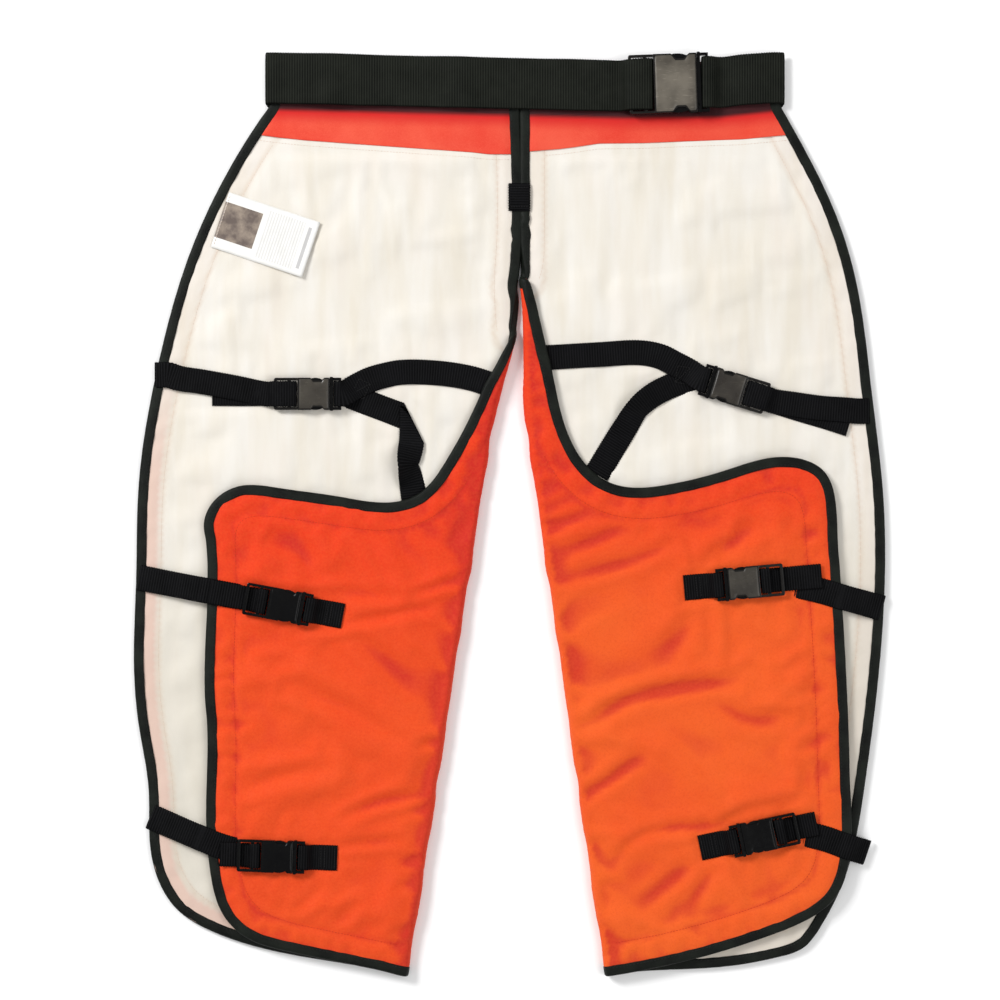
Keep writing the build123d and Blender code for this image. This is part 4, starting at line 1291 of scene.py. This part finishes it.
def make_calf(name):
    """A calf strap from the leg's edge up over the wrap's, its tail, and the tab on the wrap."""
    b = buckles[name]
    side = name.split("_")[1]
    wrap = f"{side}_calf_wrap"
    anchor, climb = CALF_ANCHORS[name]
    start = np.array([*anchor, 0.0])
    meet = np.array(b.at(b.end - 4.0))
    heading = unit((meet - start) * (1, 1, 0))
    over = b.base - 0.3 - PLY / 2
    on_leg = PANEL + 0.5 + PLY / 2
    length = np.linalg.norm((meet - start)[:2])

    def spot(distance, z):
        p = start + heading * distance
        return (p[0], p[1], z)

    hook = 7.5 if name == "calf_right_lower" else 0.0
    route = [spot(-3.6 - hook * 0.1, 3.6), spot(-3.2, on_leg - 0.6), spot(2.0, on_leg + 0.2)]
    crossing = climb * 0.62
    route += [spot(crossing, (on_leg + over) / 2 + 0.5), spot(climb, over)]
    split = climb + 6.0
    ribbon(f"{name}_strap_outer", route + [spot(split, over), spot(split + 6.0, over)], 25, PLY,
           STRAP_CLOTH, ("root", wrap, spot(0.0, on_leg), spot(climb * 0.8, on_leg)),
           [f"calf_{side}_straps"], seed=8)
    route = [spot(split - 0.5, over + 0.04), spot((split + length) / 2, over + 0.04)]
    level = over - b.base
    ribbon(f"{name}_strap_inner", route + b.ladder_under(level), 25, PLY, STRAP_CLOTH,
           (wrap, f"{name}_buckle", spot(split, over), b.at(b.end - 2.0)),
           [f"calf_{side}_straps"], seed=9)
    top = b.high + b.thick / 2 + 0.15
    fall = b.bar_u + b.bar + b.thick / 2 + 0.5
    low = b.thick / 2
    route = [b.at(b.bar_u + b.bar - 0.4, top), b.at(fall - 0.1, top - 0.9),
             b.at(fall + 1.2, low + 0.4), b.at(fall + 4.0, low),
             b.at(b.end + b.tail * 0.6, low), b.at(b.end + b.tail, low + 1.0)]
    ribbon(f"{name}_loose_tail", route, 24, PLY, STRAP_CLOTH, f"{name}_buckle",
           [f"{name}_tail"], seed=10)
    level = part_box(f"calf_{side}_tabs")[0].z / MM + PLY / 2 - b.base
    foot = -b.male_back - 31.0
    route = [b.at(foot, level), b.at(foot + 12, level), b.at(-b.male_back - 8.0, level + 0.3)]
    ribbon(f"{name}_tab", route + b.male_loop(), 25, PLY, STRAP_CLOTH, wrap,
           [f"calf_{side}_tabs"], seed=11)
    rows = [np.array([b.at(foot + du, level + 0.72, v) for v in (-9.5, 9.5)])
            for du in (2.5, 12.0, 16.0)]
    stitches(f"{name}_tab_stitches", rows, BLACK_THREAD, wrap, 2.4, 0.28)


# ---- facing, keeper and label ----------------------------------------------------------------------
HEMS = {    # lower edge of the waist facing
    "left": [(-252, 368), (-239, 366.2), (-225, 364.3), (-198, 361.4), (-104, 354.6), (-36, 349.8),
             (-20, 347.9), (12, 347.9)],
    "right": [(6, 348.5), (21, 350.8), (49, 353), (62, 354.6), (86, 358.2), (130, 358.7), (170, 360.4),
              (224, 362.3), (265, 366.2), (280, 368)],
}


def make_facing(leg):
    """The red waist facing: over the top edge of the casing and down to its seam on the lining."""
    side = leg.side
    ring = top_outline("waist_facing", side)
    left, right = ring[:, 0].min() - 5, ring[:, 0].max() + 5
    columns = np.linspace(left, right, int((right - left) / 3.0))
    over_top = [(-9.0, 0.5), (-3.0, 0.35), (0.2, 1.3), (0.9, 3.4), (0.2, 5.6), (-3.0, 6.6),
                (-8.0, 6.7)]
    fall = [(share, 0.0, 6.75) for share in np.linspace(0.1, 1.0, 34)]
    fall += [(1.0, -0.5, 6.6), (1.0, 0.2, 6.3)]
    grid = []
    for x in columns:
        drop = np.interp(x, *zip(*HEMS[side])) - WAIST + 8.0
        grid.append([(x, WAIST + dy, z) for dy, z in over_top]
                    + [(x, WAIST - 8.0 + drop * share + dy, z) for share, dy, z in fall])
    spots = np.array(grid).reshape(-1, 3)
    spots[:, 0], beside = between_edges(leg, spots)
    fade = smooth_step((BELT_LOW + 4 - spots[:, 1]) / 8) * smooth_step((beside - 9) / 6)
    wave = (0.35 * ripple(spots[:, :2], (26, 15), 71, 20)
            + 0.25 * ripple(spots[:, :2], (60, 22), 72, -12))
    tuck = 0.6 * (1 - smooth_step((beside - 9) / 4)) * (spots[:, 1] < BELT_LOW + 8)
    spots[:, 2] += np.where(spots[:, 2] > 6.5, (0.3 + wave) * fade - tuck, 0)
    faces = net_of(len(columns), len(grid[0]))
    made = piece(f"{side}_waist_cloth", spots, [f[::-1] for f in faces], RED, "root",
                 ["waist_facing"])
    # Painted shadow under the belt, darkest just below its lower edge.
    below = belt_edge(spots[:, 0]) - spots[:, 1]
    shade = 1 - 0.5 * smooth_step((below - 3) / 5) - 0.5 * smooth_step((below - 6) / 15)
    paint(made, "crease", shade)


def belt_edge(x):
    """Height of the belt's lower edge at x, from which the painted shadow on the facing is measured.
    """
    return np.interp(x, (-236, 110, 204, 250, 266), (395.9, 387.5, 388.5, 393.5, 395.9))


def between_edges(leg, spots):
    """X of the spots kept inside the leg's two side edges, and how far inside they then are."""
    order = leg.ring[leg.ring[:, 1] > 330]
    middle = (order[:, 0].min() + order[:, 0].max()) / 2
    x = spots[:, 0].copy()
    beside = np.full(len(x), 1e3)
    for way in (1, -1):
        part = order[way * (middle - order[:, 0]) > 60]
        part = part[np.argsort(part[:, 1])]
        limit = np.interp(spots[:, 1], part[:, 1], part[:, 0])
        x = way * np.maximum(way * x, way * limit + 3.0)
        beside = np.minimum(beside, way * (x - limit))
    return x, beside


def sewn_on(surface, name, runs, thread, body, radius):
    """Stitches along some lines, laid on top of a piece."""
    tree = tree_of(bpy.data.objects[surface])
    sewn = []
    for run in runs:
        hits = [tree.ray_cast((x, y, 40), (0, 0, -1))[0] for x, y, _ in run]
        sewn.append(np.array([(h.x, h.y, h.z + 0.02) for h in hits if h]))
    stitches(name, [run for run in sewn if len(run) > 6], thread, body, 3.0, radius)


def make_quilting(leg):
    """Sewn lines: round the inside of the wrap, round the leg lining and below the facing."""
    side = leg.side
    quilt = even(grown_in(leg.ring, QUILT[side]), 1.5)
    chosen = leg.folded(quilt) & (leg.past(quilt) > FOLD_ARC + 6)
    sewn_on(f"{side}_outer_cloth", f"{side}_wrap_quilting", split_runs(leg.flat_place(quilt), chosen),
            ORANGE_THREAD, f"{side}_calf_wrap", 0.24)
    seam = even(grown_in(leg.ring, SEAM), 1.5)
    chosen = ~leg.folded(seam) & (leg.past(seam) < -12) & (seam[:, 1] < 358)
    hem = even(np.array(HEMS[side], float) - (0, 5.5), 1.5)
    ring = leg.ring[leg.ring[:, 1] > 330]
    beside = (hem[:, 0] > ring[:, 0].min() + 24) & (hem[:, 0] < ring[:, 0].max() - 11)
    line = np.column_stack([hem, np.zeros(len(hem))])
    sewn_on(f"{side}_leg_inner_cloth", f"{side}_lining_seam",
            split_runs(leg.flat_place(seam), chosen) + split_runs(line, beside), PALE_THREAD, "root",
            0.2)


def grown_in(ring, amount):
    """A ring moved inwards a long way, in steps that keep it free of loops."""
    for _ in range(int(amount)):
        ring = grown(ring, -amount / int(amount))
        ring = even(np.vstack([ring, ring[:1]]), 4.0)[:-1]
        ring = 0.25 * np.roll(ring, 1, axis=0) + 0.5 * ring + 0.25 * np.roll(ring, -1, axis=0)
    return ring


def split_runs(line, chosen):
    """The stretches of a line whose points are chosen."""
    runs, run = [], []
    for p, good in zip(line, chosen):
        if good:
            run.append(p)
        elif run:
            runs.append(np.array(run))
            run = []
    if run:
        runs.append(np.array(run))
    return runs


def make_keeper():
    """A short piece of webbing sewn across the two bindings at the crotch."""
    low, high = (np.array(c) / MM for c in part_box("crotch_keeper"))
    x, y0, y1 = (low[0] + high[0]) / 2, low[1], high[1]
    z = low[2] + 1.1
    route = [(x, y0 + 0.6, z - 0.5), (x, y0 + 3, z + 0.3), (x, (y0 + y1) / 2, z + 0.5),
             (x, y1 - 3, z + 0.3), (x, y1 - 0.6, z - 0.5)]
    ribbon("crotch_webbing", route, 21.5, PLY, STRAP_CLOTH, "root", ["crotch_keeper"], seed=12)
    rows = [np.array([(x - 8.5, y, z + 1.2), (x + 8.5, y, z + 1.2)]) for y in (y0 + 4.5, y1 - 4.5)]
    stitches("crotch_stitches", rows, BLACK_THREAD, "root", 2.4, 0.26)


def make_label():
    """The care label: a thin card, a little curled, sewn down along its short left edge."""
    centre, turn = np.array([-235.6, 269.6]), math.radians(-18.5)
    long, wide = 93.0, 56.0
    ahead = np.array([math.cos(turn), math.sin(turn)])
    across = np.array([-ahead[1], ahead[0]])
    rows, columns = 33, 21
    layers = []
    for lift in (0.0, -CARD_THICK):
        for i in range(rows):
            u = i / (rows - 1)
            for j in range(columns):
                v = j / (columns - 1)
                spot = centre + ahead * (u - 0.5) * long + across * (v - 0.5) * wide
                curl = 2.6 * u**2.4 + 0.5 * math.sin(3.1 * u + 1.7 * v) * u
                z = 7.95 + curl + 0.5 * (v - 0.5) ** 2 * u
                layers.append((*spot, z + lift))
    count = rows * columns
    faces = net_of(rows, columns)
    faces += [tuple(i + count for i in f[::-1]) for f in net_of(rows, columns)]
    rim = [j for j in range(columns)] + [i * columns + columns - 1 for i in range(1, rows)]
    rim += [(rows - 1) * columns + j for j in range(columns - 2, -1, -1)]
    rim += [i * columns for i in range(rows - 2, 0, -1)]
    for a, b in zip(rim, rim[1:] + rim[:1]):
        faces.append((b, a, a + count, b + count))
    faces = [f[::-1] for f in faces]
    made = piece("care_card", layers, faces, CARD, "care_label", ["care_label"])
    uv = made.data.uv_layers.new(name="UVMap")
    for loop in made.data.loops:
        i = loop.vertex_index % count
        uv.data[loop.index].uv = (i // columns / (rows - 1), i % columns / (columns - 1))
    a = centre - ahead * (long / 2 - 2) - across * (wide / 2 - 3)
    b = centre - ahead * (long / 2 - 2) + across * (wide / 2 - 3)
    stitches("label_stitches", [np.array([(*a, 8.2), (*b, 8.2)])], PALE_THREAD, "care_label",
             3.2, 0.22)


# ---- buckles -------------------------------------------------------------------------------------
def finish_buckles():
    """Plastic and softened edges for the frame's buckle nodes."""
    for node, made in frame["nodes"].items():
        if "_buckle_" not in node:
            continue
        name = node.split("_buckle_")[0]
        grey = name in GREY_PLATES and node.endswith("female")
        for index in range(len(made.material_slots)):
            made.material_slots[index].material = FRAME_PLASTIC if grey else BLACK_PLASTIC
        weld = made.modifiers.new("weld", "WELD")
        weld.merge_threshold = 0.00002
        bevel = made.modifiers.new("bevel", "BEVEL")
        bevel.width = 0.6 * MM
        bevel.segments = 2
        bevel.limit_method = "ANGLE"
        bevel.angle_limit = math.radians(40)
        bevel.harden_normals = False


def make_crown(b):
    """The gently crowned face moulded on top of a female half."""
    notch = 0.18 * b.half
    start, end = 0.17 * b.body, 0.6 * b.body

    def half_width(u):
        dip = smooth_step((u - start) / notch) * (1 - smooth_step((u - end + notch) / notch))
        return b.half - 1.0 - dip * (notch + 0.2)

    us = np.linspace(1.4, b.body - 1.4, 34)
    vs = np.linspace(-1, 1, 23)
    high = 1.1 if b.webbing > 30 else 0.9
    spots = []
    for u in us:
        for v in vs:
            rim = min(1 - abs(v), (u - 1.4) / 8, (b.body - 1.4 - u) / 8)
            rise = high * (1 - 0.45 * v * v) * float(smooth_step(rim * 7)) - 0.12
            spots.append(b.at(u, b.tall + rise, v * half_width(u)))
    tone = {"belt": GREY_PLASTIC}.get(b.name, DARK_PLASTIC if b.name in GREY_PLATES else BLACK_PLASTIC)
    piece(f"{b.name}_buckle_face", spots, net_of(len(us), len(vs)), tone, f"{b.name}_buckle")


# ---- everything ----------------------------------------------------------------------------------
for leg in [Leg(side) for side in SIDES]:
    make_leg(leg)
    make_tape(leg)
    make_facing(leg)
    make_quilting(leg)
make_belt()
for side in SIDES:
    make_thigh(side)
for name in CALF_ANCHORS:
    make_calf(name)
make_keeper()
make_label()
finish_buckles()
for b in buckles.values():
    make_crown(b)


# ---- floor, light and camera ---------------------------------------------------------------------
LIGHTS = (("key", (-3.0, 2.2, 2.9), 1.5, 190), ("fill", (2.6, -0.6, 3.4), 2.6, 60))
SENSOR = 36
CAMERA_AWAY = 2.99      # metres from the camera to the top of the legs
VIEW_WIDE = 0.965       # metres that the camera sees across there


def make_stage():
    """A pale floor, two soft lights, a white room and the camera straight above."""
    mesh = bpy.data.meshes.new("floor")
    mesh.from_pydata([(-6, -6, 0), (6, -6, 0), (6, 6, 0), (-6, 6, 0)], [], [(0, 1, 2, 3)])
    n = Nodes("pale_floor")
    mesh.materials.append(n.finish((0.93, 0.93, 0.93, 1), 0.9, specular=0.1))
    floor = bpy.data.objects.new("floor", mesh)
    bpy.context.scene.collection.objects.link(floor)
    for name, place, size, power in LIGHTS:
        light = bpy.data.lights.new(name, "AREA")
        light.size = size
        light.energy = power
        lamp = bpy.data.objects.new(name, light)
        lamp.location = place
        lamp.rotation_euler = (Vector((0, 0, 0)) - Vector(place)).to_track_quat("-Z", "Y").to_euler()
        bpy.context.scene.collection.objects.link(lamp)
    world = bpy.data.worlds.new("studio")
    world.use_nodes = True
    world.node_tree.nodes["Background"].inputs["Color"].default_value = (1, 1, 1, 1)
    world.node_tree.nodes["Background"].inputs["Strength"].default_value = 0.55
    bpy.context.scene.world = world
    bpy.context.scene.view_settings.view_transform = "Standard"
    camera = bpy.data.objects.new("camera", bpy.data.cameras.new("camera"))
    camera.location = (-0.0092, 0.0135, 3.0)
    camera.data.sensor_width = SENSOR
    camera.data.lens = SENSOR * CAMERA_AWAY / VIEW_WIDE
    bpy.context.scene.collection.objects.link(camera)
    bpy.context.scene.camera = camera


make_stage()
